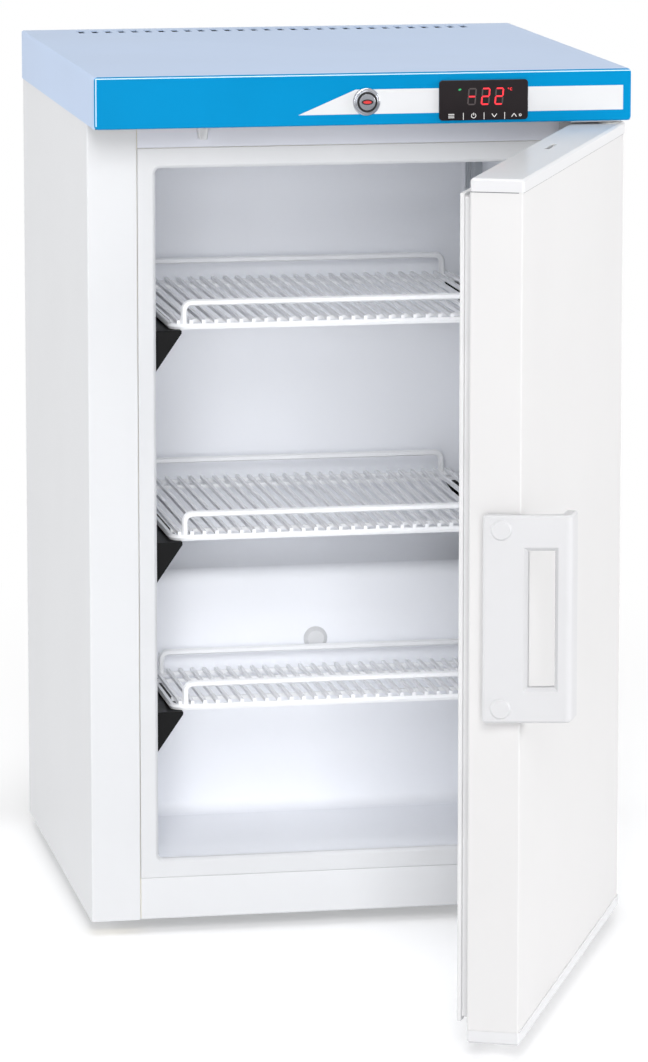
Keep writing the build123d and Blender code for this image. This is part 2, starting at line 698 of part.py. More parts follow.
def lock_nut():
    """Hexagon nut that clamps the barrel behind the fascia."""
    nut = Pos(LOCK_X, CONTROL_Z) * RegularPolygon(LOCK_NUT_ACROSS / 2, 6, major_radius=False)
    nut = along_y(nut, (FASCIA_BACK, FASCIA_BACK + LOCK_NUT_HEIGHT))
    return nut - lock_tube(LOCK_BARREL_RADIUS, FASCIA_Y, BACK)


def lock_plug():
    """Turning plug with its keyway and the square that drives the cam."""
    front = FASCIA_Y - BAND_THICKNESS - LOCK_COLLAR_HEIGHT - LOCK_RING_HEIGHT - LOCK_PLUG_PROUD
    plug = lock_tube(LOCK_PLUG_RADIUS, front, CAM_Y)
    square = Pos(LOCK_X, CONTROL_Z) * Rectangle(CAM_SQUARE, CAM_SQUARE)
    plug += along_y(square, (CAM_Y, CAM_Y + CAM_THICKNESS + SHEET))
    return plug - block(around(LOCK_X, KEYWAY_LENGTH), (front - 1, front + KEYWAY_DEPTH),
                        around(CONTROL_Z, KEYWAY_WIDTH))


def lock_cam():
    """Flat cam that swings down through the deck into the door's top cap."""
    arm = SlotCenterPoint((0, 0), ((CAM_REACH - CAM_HALF_WIDTH) / 2, 0), 2 * CAM_HALF_WIDTH)
    cam = along_y(Pos(LOCK_X, CONTROL_Z) * arm, (CAM_Y, CAM_Y + CAM_THICKNESS))
    square = Pos(LOCK_X, CONTROL_Z) * Rectangle(CAM_SQUARE, CAM_SQUARE)
    return cam - along_y(square, (CAM_Y - 1, CAM_Y + CAM_THICKNESS + 1))


def hinge_pin(z):
    """Round pin between two heights on the hinge axis."""
    return rod((HINGE_X, HINGE_Y, z[0]), (HINGE_X, HINGE_Y, z[1]), PIN_RADIUS)


def hinge_plate_top():
    """Angle under the deck, screwed to the stile, with its riveted pin pointing down."""
    line = [(PLATE_Y, BODY_TOP), (FRONT, BODY_TOP), (FRONT, BODY_TOP - HINGE_LEG)]
    plate = along_x(folded(line, Side.RIGHT, HINGE_PLATE, HINGE_PLATE + SHEET), PLATE_X)
    low = BODY_TOP - HINGE_PLATE
    plate += hinge_pin((DOOR_TOP - PIN_LENGTH + SHEET, low + SHEET))
    top, _ = hinge_screw_places()
    return plate - [place * shank_hole() for place in top]


def hinge_plate_bottom():
    """Flat plate screwed under the base, with its pin pointing up into the door."""
    plate = block(PLATE_X, (PLATE_Y, FRONT + HINGE_TAIL), (BASE - HINGE_PLATE, BASE))
    plate = fillet(plate.edges().filter_by(Axis.Z), BUSH_RADIUS)
    plate += hinge_pin((BASE - SHEET, DOOR_BOTTOM + PIN_LENGTH - SHEET))
    _, below = hinge_screw_places()
    return plate - [place * shank_hole() for place in below]


def hinge_screws():
    """The five screws that hold both hinge plates."""
    top, below = hinge_screw_places()
    return Compound(children=[place * screw() for place in top + below])


def feet():
    """Four round feet with stems pressed into the base."""
    profile = Polyline((0, 0), (FOOT_RADIUS, 0), (FOOT_RADIUS, BASE * 0.6),
                       (FOOT_NECK_RADIUS, BASE * 0.6), (FOOT_NECK_RADIUS, BASE),
                       (FOOT_STEM_RADIUS, BASE),
                       (FOOT_STEM_RADIUS, BASE + FOOT_STEM_LENGTH), (0, BASE + FOOT_STEM_LENGTH),
                       close=True)
    foot = revolve(Plane.XZ * make_face(profile), Axis.Z)
    return Compound(children=[Pos(x, y, 0) * foot for x, y in foot_places()])


def door_sensor():
    """Tapered sensor that hangs in front of the crossmember, over the gasket."""
    low = BODY_TOP - SENSOR_HEIGHT
    half, tip = SENSOR_WIDTH / 2, SENSOR_TIP / 2
    face = make_face(Polyline((SENSOR_X - half, BODY_TOP), (SENSOR_X - tip, low),
                              (SENSOR_X + tip, low), (SENSOR_X + half, BODY_TOP), close=True))
    sensor = along_y(face, (FRONT - SENSOR_DEPTH, FRONT))
    lower = [edge for edge in sensor.edges() if edge.center().Z < BODY_TOP - 1
             and edge.center().Y < FRONT - 1]
    return fillet(lower, SENSOR_EDGE)


def runner_levels():
    """Height of each runner's ledge, just under its shelf's frame wire."""
    return [level - FRAME_WIRE - RUNNER_CLEARANCE for level in SHELF_LEVELS]


def runner_bounds(depth):
    """Front and back of the runners under a shelf of a given depth."""
    front = SHELF_FRONT - RUNNER_FRONT_GAP
    return front, SHELF_FRONT + depth + RUNNER_BACK_GAP


def left_runner_pegs():
    """Square pegs of all runners on the left, two for each runner, through the liner's wall."""
    pegs = []
    for ledge, depth in zip(runner_levels(), SHELF_DEPTHS):
        front, back = runner_bounds(depth)
        z = ledge - RUNNER_DROP / 3
        for y in (front + RUNNER_PEG_INSET, back - RUNNER_PEG_INSET):
            pegs.append(block((-OPENING_HALF - LINER_WALL, -OPENING_HALF), around(y, RUNNER_PEG),
                              around(z, RUNNER_PEG)))
    return pegs


def runner_pegs():
    """Pegs of the runners on both sides."""
    left = left_runner_pegs()
    return left + [mirror(peg, about=Plane.YZ) for peg in left]


def runner(ledge, depth):
    """Left-hand runner: wall flange, ledge and triangular gussets."""
    wall = -OPENING_HALF
    tip = wall + RUNNER_REACH
    y = runner_bounds(depth)
    bottom = ledge - RUNNER_DROP
    piece = block((wall, wall + RUNNER_WALL), y, (bottom, ledge + RUNNER_RISE))
    piece += block((wall, tip), y, (ledge - RUNNER_WALL, ledge))
    gusset = make_face(Polyline((wall, bottom), (tip, ledge - RUNNER_WALL), (tip, ledge),
                                (wall, ledge), close=True))
    middle = sum(y) / 2
    for start in (y[0], middle, y[1] - RUNNER_WALL):
        piece += along_y(gusset, (start, start + RUNNER_WALL))
    return piece


def shelf_runners():
    """Six runners: a pair for each shelf, pegged into the liner."""
    left = [runner(ledge, depth) for ledge, depth in zip(runner_levels(), SHELF_DEPTHS)]
    pegs = left_runner_pegs()
    left = [piece + pegs[2 * i:2 * i + 2] for i, piece in enumerate(left)]
    return Compound(children=left + [mirror(piece, about=Plane.YZ) for piece in left])


def shelf_deck(level, depth):
    """Wire shelf: frame wire, two cross wires inside it and front-to-back wires on top."""
    y = (SHELF_FRONT, SHELF_FRONT + depth)
    half = SHELF_HALF_WIDTH - FRAME_WIRE
    outline = Pos(0, sum(y) / 2, level) * RectangleRounded(2 * half, depth - 2 * FRAME_WIRE,
                                                           SHELF_CORNER)
    path = outline.wire()
    wires = [wire_along(path, FRAME_WIRE, (0, 0, 1))]
    top = level + FRAME_WIRE
    wires += [block(around(i * DECK_WIRE_PITCH - LAST_WIRE_X, DECK_WIRE),
                    (y[0] + FRAME_WIRE / 2, y[1] - FRAME_WIRE / 2), (top, top + DECK_WIRE))
              for i in range(DECK_WIRES)]
    reach = half - FRAME_WIRE / cos(radians(180 / WIRE_SIDES))
    wires += [block(both(reach), around(place, DECK_WIRE), (top - DECK_WIRE, top))
              for place in (y[0] + CROSS_WIRE_INSET, y[1] - CROSS_WIRE_INSET)]
    return Compound(children=wires)


def shelf_rails(level, depth):
    """Raised front and back rails, bent down to the frame wire at both ends."""
    low = level + FRAME_WIRE
    high = level + RAIL_RISE
    rails = []
    for y in (SHELF_FRONT + FRAME_WIRE, SHELF_FRONT + depth - FRAME_WIRE):
        points = [(-RAIL_HALF_WIDTH, y, low), (-RAIL_HALF_WIDTH, y, high),
                  (RAIL_HALF_WIDTH, y, high), (RAIL_HALF_WIDTH, y, low)]
        rails.append(bent_rod(points, RAIL_WIRE, RAIL_CORNER))
    return Compound(children=rails)


def port_plug():
    """Domed access plug on the front of the step."""
    x, y, z = plug_place()
    cap = rod((x, y - PLUG_CAP_RISE, z), (x, y, z), PLUG_CAP_RADIUS)
    cap = chamfer(cap.edges().sort_by(Axis.Y)[0], PLUG_CAP_RISE * 0.8)
    return cap + plug_stem()


def guard_bounds():
    """Room of the probe guard on the right wall near the ceiling and the back."""
    high = CAVITY_CEILING - GUARD_BELOW_CEILING
    back = CAVITY_BACK - LINER_SIDE_CORNER - GUARD_FROM_BACK
    return ((OPENING_HALF - GUARD_DEPTH, OPENING_HALF), (back - GUARD_LENGTH, back),
            (high - GUARD_HEIGHT, high))


def probe_guard():
    """Slotted grey guard over the temperature probe."""
    x, y, z = guard_bounds()
    guard = fillet(block(x, y, z).edges().group_by(Axis.X)[0], GUARD_EDGE)
    guard -= block((x[0] + GUARD_WALL, x[1] + 1), (y[0] + GUARD_WALL, y[1] - GUARD_WALL),
                   (z[0] + GUARD_WALL, z[1] - GUARD_WALL))
    pitch = (y[1] - y[0]) / (GUARD_SLOTS + 1)
    slots = [block((x[0] - 1, x[0] + 2 * GUARD_WALL), around(y[0] + (i + 1) * pitch, GUARD_SLOT_WIDTH),
                   (z[0] + PROBE_RADIUS * 3, z[1] - PROBE_RADIUS * 3))
             for i in range(GUARD_SLOTS)]
    return guard - slots


def temperature_probe():
    """Probe that lies along the wall behind its guard."""
    _, y, z = guard_bounds()
    x = OPENING_HALF - PROBE_RADIUS - RUNNER_CLEARANCE
    place = sum(y) / 2
    low = sum(z) / 2 - PROBE_LENGTH / 2
    probe = rod((x, place, low), (x, place, low + PROBE_LENGTH), PROBE_RADIUS)
    return chamfer(probe.edges().sort_by(Axis.Z)[0], PROBE_RADIUS / 2)


def mount_places():
    """Centres of the compressor's four mounts."""
    return [(COMPRESSOR_X + i * MOUNT_HALF_WIDTH, COMPRESSOR_Y + j * MOUNT_HALF_DEPTH)
            for i in (-1, 1) for j in (-1, 1)]


def compressor_shell():
    """Welded steel shell in two pressings with the seam flange between them."""
    radius, height = COMPRESSOR_RADIUS, COMPRESSOR_HEIGHT
    seam = height * 0.52
    lip = radius + COMPRESSOR_SEAM
    profile = make_face(Polyline((0, 0), (radius * 0.6, 0), (radius, height * 0.2), (radius, seam),
                                 (lip, seam), (lip, seam + COMPRESSOR_SEAM),
                                 (radius, seam + COMPRESSOR_SEAM), (radius, height * 0.75),
                                 (radius * 0.8, height * 0.93), (radius * 0.4, height),
                                 (0, height), close=True))
    return Pos(COMPRESSOR_X, COMPRESSOR_Y, SHELL_BOTTOM) * revolve(Plane.XZ * profile, Axis.Z)


def compressor_mount():
    """Plate welded under the shell that stands on the four rubber mounts."""
    width = 2 * (MOUNT_HALF_WIDTH + GROMMET_RADIUS)
    depth = 2 * (MOUNT_HALF_DEPTH + GROMMET_RADIUS)
    plate = Pos(COMPRESSOR_X, COMPRESSOR_Y) * RectangleRounded(width, depth, GROMMET_RADIUS)
    holes = [Pos(x, y) * Circle(BOLT_RADIUS) for x, y in mount_places()]
    return along_z(plate - holes, (MOUNT_Z, SHELL_BOTTOM))


def compressor_grommets():
    """Four rubber mounts on the base pan, each with a groove round its middle."""
    waist = GROMMET_RADIUS * 0.7
    high = GROMMET_HEIGHT
    profile = Polyline((BOLT_RADIUS, 0), (GROMMET_RADIUS, 0), (GROMMET_RADIUS, high / 3),
                       (waist, high / 3), (waist, high * 2 / 3), (GROMMET_RADIUS, high * 2 / 3),
                       (GROMMET_RADIUS, high), (BOLT_RADIUS, high), close=True)
    mount = revolve(Plane.XZ * make_face(profile), Axis.Z)
    return Compound(children=[Pos(x, y, MOUNT_Z - high) * mount for x, y in mount_places()])


def compressor_bolts():
    """Four bolts down through the plate and the rubber mounts."""
    length = SHELL_BOTTOM - PAN_TOP
    head = Pos(0, 0, BOLT_RADIUS) * extrude(RegularPolygon(BOLT_RADIUS * 1.8, 6), BOLT_RADIUS)
    head = Pos(0, 0, -BOLT_RADIUS) * head
    bolt = head + Pos(0, 0, -length / 2) * Cylinder(BOLT_RADIUS, length)
    return Compound(children=[Pos(x, y, SHELL_BOTTOM) * bolt for x, y in mount_places()])


def start_relay():
    """Starting relay box clipped to the side of the shell."""
    width, depth, height = RELAY_SIZE
    right = COMPRESSOR_X - COMPRESSOR_RADIUS * 0.85
    low = SHELL_BOTTOM + COMPRESSOR_HEIGHT * 0.2
    box = block((right - width, right), around(COMPRESSOR_Y, depth), (low, low + height))
    box = chamfer(box.edges().group_by(Axis.X)[0], RELAY_EDGE)
    room = rod((COMPRESSOR_X, COMPRESSOR_Y, SHELL_BOTTOM),
               (COMPRESSOR_X, COMPRESSOR_Y, SHELL_BOTTOM + COMPRESSOR_HEIGHT),
               COMPRESSOR_RADIUS + TUBE_GAP)
    return box - room


def pass_heights():
    """Height of each pass of the condenser's tube, from the top down."""
    return [CONDENSER_TOP - i * CONDENSER_PITCH for i in range(CONDENSER_PASSES)]


def condenser():
    """Wire-on-tube condenser that stands in the rear channel."""
    points = [(RISER_X, CONDENSER_Y, RISER_BOTTOM), (RISER_X, CONDENSER_Y, CONDENSER_TOP)]
    side = -1
    for here, below in zip(pass_heights()[:-1], pass_heights()[1:]):
        points += [(side * CONDENSER_HALF_WIDTH, CONDENSER_Y, here),
                   (side * CONDENSER_HALF_WIDTH, CONDENSER_Y, below)]
        side = -side
    points += [(DRIER_X, CONDENSER_Y, pass_heights()[-1]), (DRIER_X, CONDENSER_Y, DRIER_TOP)]
    tube = bent_rod(points, CONDENSER_TUBE, CONDENSER_BEND)
    low, high = pass_heights()[-1] - CONDENSER_BEND / 2, CONDENSER_TOP + CONDENSER_BEND / 2
    aside = CONDENSER_TUBE + CONDENSER_WIRE / 2
    wires = [block(around(i * CONDENSER_STEP - CONDENSER_REACH, CONDENSER_WIRE),
                   around(CONDENSER_Y + face * aside, CONDENSER_WIRE), (low, high))
             for i in range(CONDENSER_WIRES) for face in (-1, 1)]
    return Compound(children=[tube] + wires)


def condenser_clips():
    """Four plastic clips that hold the condenser off the back sheet."""
    clips = []
    heights = pass_heights()
    for z in (heights[1], heights[-2]):
        for x in (-CLIP_X, CLIP_X):
            clip = block(around(x, CLIP_WIDTH), (REAR_PANEL_Y, CONDENSER_Y + CLIP_LIP),
                         around(z, CLIP_HEIGHT))
            clip -= wire_along(Line((x - CLIP_WIDTH, CONDENSER_Y, z),
                                    (x + CLIP_WIDTH, CONDENSER_Y, z)), CONDENSER_TUBE)
            clip -= block(around(x, CLIP_WIDTH * 2), (CONDENSER_Y, BACK),
                          around(z, CONDENSER_TUBE * 1.4))
            clips.append(clip)
    return Compound(children=clips)


def filter_drier():
    """Copper filter drier with tapered ends, between the condenser and the capillary."""
    length, radius = DRIER_LENGTH, DRIER_RADIUS
    end = CONDENSER_TUBE + SHEET
    profile = Polyline((0, 0), (end, 0), (end, length * 0.08), (radius, length * 0.2),
                       (radius, length * 0.8), (end, length * 0.92), (end, length), (0, length),
                       close=True)
    drier = revolve(Plane.XZ * make_face(profile), Axis.Z)
    return Pos(DRIER_X, CONDENSER_Y, DRIER_TOP - length) * drier


def discharge_tube():
    """Hot gas tube from the shell to the condenser's riser."""
    x = COMPRESSOR_X + COMPRESSOR_RADIUS + TUBE_GAP
    z = SHELL_BOTTOM + COMPRESSOR_HEIGHT * 0.7
    points = [(x, COMPRESSOR_Y, z), (x + DISCHARGE_RUN, COMPRESSOR_Y, z),
              (RISER_X, CONDENSER_Y, z), (RISER_X, CONDENSER_Y, RISER_BOTTOM)]
    return bent_rod(points, DISCHARGE_RADIUS, CONDENSER_BEND / 2)


def suction_tube():
    """Return tube from the foam to the front of the shell."""
    y = COMPRESSOR_Y - COMPRESSOR_RADIUS - TUBE_GAP
    z = SHELL_BOTTOM + COMPRESSOR_HEIGHT * 0.7
    turn = y - SUCTION_RUN
    points = [(COMPRESSOR_X, y, z), (COMPRESSOR_X, turn, z), (COMPRESSOR_X, turn, MACHINE_TOP)]
    return bent_rod(points, SUCTION_RADIUS, CONDENSER_BEND / 2, (1, 0, 0))


def capillary_tube():
    """Thin tube from the drier back into the foam."""
    z = DRIER_TOP - DRIER_LENGTH
    low = z - CAPILLARY_DROP
    y = MACHINE_FRONT + CAPILLARY_FROM_WALL
    points = [(DRIER_X, CONDENSER_Y, z), (DRIER_X, CONDENSER_Y, low), (DRIER_X, y, low),
              (DRIER_X, y, MACHINE_TOP)]
    return bent_rod(points, CAPILLARY_RADIUS, CONDENSER_BEND / 2)


def cord_gland():
    """Bush in the base pan's tab that the mains lead leaves through."""
    tab_y = BACK - GLAND_LENGTH / 2 - SHEET
    middle = tab_y + SHEET
    bush = rod((GLAND_X, middle - GLAND_LENGTH / 2, GLAND_Z),
               (GLAND_X, middle + GLAND_LENGTH / 2, GLAND_Z), GLAND_RADIUS)
    bush += rod((GLAND_X, middle, GLAND_Z), (GLAND_X, middle + GLAND_LENGTH / 2, GLAND_Z),
                GLAND_FLANGE)
    return bush - rod((GLAND_X, MACHINE_FRONT, GLAND_Z), (GLAND_X, BACK + 1, GLAND_Z), GLAND_BORE)


def door_skin_closed():
    """Outer door skin: face, both edges and their returns, from one sheet."""
    half = HALF_WIDTH
    line = [(-half + DOOR_RETURN, DOOR_BACK), (-half, DOOR_BACK), (-half, DOOR_FACE),
            (half, DOOR_FACE), (half, DOOR_BACK), (half - DOOR_RETURN, DOOR_BACK)]
    skin = along_z(folded(line, Side.LEFT), (SKIN_BOTTOM, SKIN_TOP))
    return skin - [place * shank_hole(HANDLE_SCREW_SHANK) for place in handle_screw_places()]


def pan_layer(shrink, y):
    """Raised middle of the inner panel between two depths, with sloped sides."""
    width = 2 * (HALF_WIDTH - PAN_INSET - shrink)
    height = SKIN_TOP - SKIN_BOTTOM - 2 * (PAN_INSET - CAP_HEIGHT) - 2 * shrink
    middle = (SKIN_TOP + SKIN_BOTTOM) / 2
    wide = Pos(0, middle) * RectangleRounded(width, height, PAN_CORNER)
    slim = Pos(0, middle) * RectangleRounded(width - 2 * PAN_SLOPE, height - 2 * PAN_SLOPE,
                                             PAN_CORNER - PAN_SLOPE)
    return loft([Plane((0, y[0], 0), x_dir=(1, 0, 0), z_dir=(0, -1, 0)) * wide,
                 Plane((0, y[1], 0), x_dir=(1, 0, 0), z_dir=(0, -1, 0)) * slim])


def door_inner_liner_closed():
    """Formed inner panel of the door, raised in the middle inside the gasket."""
    plate = block(both(HALF_WIDTH - DOOR_RETURN - PART_GAP), (DOOR_BACK - DOOR_LINER_WALL, DOOR_BACK),
                  (SKIN_BOTTOM, SKIN_TOP))
    raised = pan_layer(0, (DOOR_BACK, DOOR_BACK + PAN_RISE))
    hollow = pan_layer(DOOR_LINER_WALL, (DOOR_BACK - DOOR_LINER_WALL,
                                         DOOR_BACK + PAN_RISE - DOOR_LINER_WALL))
    return plate + raised - hollow


def door_foam_closed():
    """Foam that fills the door between its skin and its inner panel."""
    foam = block(both(HALF_WIDTH - SHEET), (DOOR_FACE + SHEET, DOOR_BACK - DOOR_LINER_WALL),
                 (SKIN_BOTTOM, SKIN_TOP))
    foam += pan_layer(DOOR_LINER_WALL, (DOOR_BACK - DOOR_LINER_WALL,
                                        DOOR_BACK + PAN_RISE - DOOR_LINER_WALL))
    foam -= door_skin_closed()
    return foam - [place * shank_hole(HANDLE_SCREW_SHANK) for place in handle_screw_places()]


def door_cap_closed(z, outer):
    """End cap of the door, a little proud of the skin, bored for the hinge bush."""
    half = HALF_WIDTH + CAP_PROUD
    cap = block(both(half), (DOOR_FACE - CAP_PROUD, DOOR_BACK), z)
    shown = [edge for edge in cap.edges() if abs(edge.center().Z - outer) < 0.01]
    cap = chamfer(shown + list(cap.edges().filter_by(Axis.Z)), CAP_EDGE)
    return cap - rod((HINGE_X, HINGE_Y, z[0]), (HINGE_X, HINGE_Y, z[1]), BUSH_RADIUS)


def door_cap_top_closed():
    """Top cap with the strike slot for the lock cam and the pocket for the magnet."""
    cap = door_cap_closed((SKIN_TOP, DOOR_TOP), DOOR_TOP)
    return cap - cam_slot(DOOR_TOP - STRIKE_DEPTH, DOOR_TOP + 1) - sensor_magnet_closed()


def sensor_magnet_closed():
    """Magnet in the top cap, under the door sensor when the door is shut."""
    width, depth, height = MAGNET_SIZE
    return block(around(SENSOR_X, width), (DOOR_BACK - SHEET - depth, DOOR_BACK - SHEET),
                 (SKIN_TOP, SKIN_TOP + height))


def hinge_bushes_closed():
    """Plastic bushes in both caps, with the flanges that the door turns on."""
    bushes = []
    for outer, inner, up in ((DOOR_TOP, SKIN_TOP, 1), (DOOR_BOTTOM, SKIN_BOTTOM, -1)):
        plate = outer + up * (DOOR_TOP_GAP - HINGE_PLATE if up > 0 else DOOR_BOTTOM_GAP)
        face = plate - up * BUSH_GAP
        low, high = sorted((inner, outer))
        bush = rod((HINGE_X, HINGE_Y, low), (HINGE_X, HINGE_Y, high), BUSH_RADIUS)
        low, high = sorted((outer, face))
        bush += rod((HINGE_X, HINGE_Y, low), (HINGE_X, HINGE_Y, high), BUSH_FLANGE_RADIUS)
        low, high = sorted((inner - up, face + up))
        bushes.append(bush - rod((HINGE_X, HINGE_Y, low), (HINGE_X, HINGE_Y, high),
                                 PIN_RADIUS + PIN_RUNNING))
    return bushes


def gasket_ring(inset, width, y):
    """One layer of the gasket, a ring inset from the door's edges, mitred at its corners."""
    outer_w = 2 * (HALF_WIDTH - inset)
    outer_h = DOOR_TOP - DOOR_BOTTOM - 2 * inset
    middle = Pos(0, (DOOR_TOP + DOOR_BOTTOM) / 2)
    ring = middle * Rectangle(outer_w, outer_h)
    ring -= middle * Rectangle(outer_w - 2 * width, outer_h - 2 * width)
    return along_y(ring, y)


def door_gasket_closed():
    """Magnetic gasket: foot, narrow bellows and the magnet head."""
    gasket = None
    y = DOOR_BACK
    for width, inset, height in GASKET_LAYERS:
        layer = gasket_ring(GASKET_INSET + inset, width, (y, y + height))
        gasket = layer if gasket is None else gasket + layer
        y += height
    return gasket


def handle_screw_places():
    """Handle screws in the free edge of the door, heads outwards."""
    y = DOOR_FACE + HANDLE_CAP_BACK
    x = -HALF_WIDTH - HANDLE_BASE - HANDLE_SEAT
    return [Pos(x, y, HANDLE_MIDDLE + side * HANDLE_SCREW_SPACING / 2) * Rot(0, -90, 0)
            for side in (-1, 1)]


def handle_outer_x(y):
    """Place of the handle's outer face, which tapers inwards towards the grip."""
    rear = DOOR_FACE + HANDLE_BEHIND
    share = (rear - y) / (HANDLE_BEHIND + HANDLE_REACH)
    return -HALF_WIDTH - HANDLE_BASE - HANDLE_PLATE + share * HANDLE_TAPER


def handle_cap_places():
    """Places of the screw caps, square to the handle's outer face."""
    y = DOOR_FACE + HANDLE_CAP_BACK
    tilt = degrees(atan2(HANDLE_TAPER, HANDLE_BEHIND + HANDLE_REACH))
    return [Pos(handle_outer_x(y), y, HANDLE_MIDDLE + side * HANDLE_SCREW_SPACING / 2)
            * Rot(0, 0, tilt) * Rot(0, -90, 0) for side in (-1, 1)]


def handle_outline():
    """Plan of the handle: screwed plate, tapering wall and the grip rail turned inwards."""
    plate = -HALF_WIDTH - HANDLE_BASE
    rear = DOOR_FACE + HANDLE_BEHIND
    front = DOOR_FACE - HANDLE_REACH
    grip = handle_outer_x(front) + HANDLE_GRIP_DEPTH
    corners = [(plate, rear), (handle_outer_x(rear), rear), (handle_outer_x(front), front),
               (grip, front), (grip, front + HANDLE_GRIP),
               (handle_outer_x(front) + HANDLE_WALL, front + HANDLE_GRIP), (plate, DOOR_FACE)]
    face = make_face(Polyline(*corners, close=True))
    for index, radius in ((1, HANDLE_EDGE), (2, HANDLE_NOSE), (3, HANDLE_EDGE), (4, HANDLE_EDGE)):
        face = fillet(face.vertices().sort_by_distance(corners[index])[0], radius)
    return face


def handle_closed():
    """Moulded handle on the free edge, reaching past the door's face to a grip rail."""
    plate = -HALF_WIDTH - HANDLE_BASE
    rear = DOOR_FACE + HANDLE_BEHIND
    z = (HANDLE_BOTTOM, HANDLE_BOTTOM + HANDLE_HEIGHT)
    handle = along_z(handle_outline(), z)
    ends = [edge for edge in handle.edges()
            if min(abs(edge.center().Z - z[0]), abs(edge.center().Z - z[1])) < 0.01]
    handle = chamfer(ends, HANDLE_EDGE * 0.8)
    slot_front = DOOR_FACE - HANDLE_SLOT_START
    slot = (slot_front - HANDLE_SLOT_WIDTH, slot_front)
    handle -= block((handle_outer_x(rear) - 1, plate + HANDLE_GRIP_DEPTH), slot,
                    around(HANDLE_MIDDLE, HANDLE_SLOT_HEIGHT))
    mouth = [edge for edge in handle.edges()
             if slot[0] - 0.1 < edge.center().Y < slot[1] + 0.1
             and abs(edge.center().Z - HANDLE_MIDDLE) < HANDLE_SLOT_HEIGHT / 2 + 0.1
             and edge.center().X < handle_outer_x(edge.center().Y) + 0.1]
    handle = chamfer(mouth, HANDLE_SLOT_BEVEL)
    handle += block((plate, -HALF_WIDTH),
                    (DOOR_FACE + HANDLE_BASE_INSET, rear - HANDLE_BASE_INSET),
                    (z[0] + HANDLE_BASE_INSET, z[1] - HANDLE_BASE_INSET))
    pocket = Pos(0, 0, HANDLE_PLATE / 2) * Cylinder(HANDLE_CAP_RADIUS - 1, HANDLE_PLATE)
    for place in handle_screw_places():
        handle -= place * (shank_hole(HANDLE_SCREW_SHANK) + pocket)
    return handle


def handle_screws_closed():
    """Two screws through the handle's base into the door's edge."""
    return [place * screw(HANDLE_SCREW_SHANK) for place in handle_screw_places()]


def handle_caps_closed():
    """Two domed caps over the handle's screws."""
    cap = Pos(0, 0, HANDLE_CAP_RISE / 2) * Cylinder(HANDLE_CAP_RADIUS, HANDLE_CAP_RISE)
    cap = chamfer(cap.edges().sort_by(Axis.Z)[-1], HANDLE_CAP_RISE * 0.7)
    cap += Pos(0, 0, -HANDLE_CAP_STEM / 2) * Cylinder(HEAD_RADIUS, HANDLE_CAP_STEM)
    return [place * cap for place in handle_cap_places()]


def door_parts():
    """All pieces of the door, turned open."""
    closed = {
        "door_skin": door_skin_closed(),
        "door_cap_top": door_cap_top_closed(),
        "door_cap_bottom": door_cap_closed((DOOR_BOTTOM, SKIN_BOTTOM), DOOR_BOTTOM),
        "door_inner_liner": door_inner_liner_closed(),
        "door_foam": door_foam_closed(),
        "door_gasket": door_gasket_closed(),
        "door_handle": handle_closed(),
        "handle_screws": Compound(children=handle_screws_closed()),
        "handle_caps": Compound(children=handle_caps_closed()),
        "hinge_bushes": Compound(children=hinge_bushes_closed()),
        "sensor_magnet": sensor_magnet_closed(),
    }
    return {name: opened(shape) for name, shape in closed.items()}


def shelf_parts():
    """Deck and rails of each shelf, numbered from the bottom."""
    parts = {}
    for number, (level, depth) in enumerate(zip(SHELF_LEVELS, SHELF_DEPTHS), 1):
        parts[f"shelf_deck_{number}"] = shelf_deck(level, depth)
        parts[f"shelf_rails_{number}"] = shelf_rails(level, depth)
    return parts


def cabinet_parts():
    """All fixed pieces of the cabinet and the lock."""
    return {
        "side_panel_left": side_panel(False),
        "side_panel_right": side_panel(True),
        "front_plinth": front_plinth(),
        "upper_crossmember": upper_crossmember(),
        "base_pan": base_pan(),
        "rear_panel": rear_panel(),
        "breaker_frame": breaker_frame(),
        "inner_liner": inner_liner(),
        "evaporator_panel": evaporator_panel(),
        "foam_insulation": foam_insulation(),
        "top_deck": top_deck(),
        "top_cover": top_cover(),
        "fascia_panel": fascia_panel(),
        "fascia_band": fascia_band(),
        "controller_housing": controller_housing(),
        "controller_lens": controller_lens(),
        "lock_barrel": lock_barrel(),
        "lock_nut": lock_nut(),
        "lock_plug": lock_plug(),
        "lock_cam": lock_cam(),
        "hinge_plate_top": hinge_plate_top(),
        "hinge_plate_bottom": hinge_plate_bottom(),
        "hinge_screws": hinge_screws(),
        "feet": feet(),
        "door_sensor": door_sensor(),
        "shelf_runners": shelf_runners(),
        "port_plug": port_plug(),
        "probe_guard": probe_guard(),
        "temperature_probe": temperature_probe(),
        "compressor_shell": compressor_shell(),
        "compressor_mount": compressor_mount(),
        "compressor_grommets": compressor_grommets(),
        "compressor_bolts": compressor_bolts(),
        "start_relay": start_relay(),
        "condenser": condenser(),
        "condenser_clips": condenser_clips(),
        "filter_drier": filter_drier(),
        "discharge_tube": discharge_tube(),
        "suction_tube": suction_tube(),
        "capillary_tube": capillary_tube(),
        "cord_gland": cord_gland(),
    }


os.makedirs("parts", exist_ok=True)
for name, shape in (cabinet_parts() | door_parts() | shelf_parts()).items():
    export_step(shape, f"parts/{name}.step")
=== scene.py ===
"""Undercounter laboratory freezer: finishes, signs, painted highlight and shadow lines, and stage
round the CAD model.
"""

import json
import logging
from dataclasses import dataclass
from enum import Enum
from math import cos, pi, radians, sin
from typing import Sequence

import bmesh
import bpy
from mathutils import Matrix, Vector

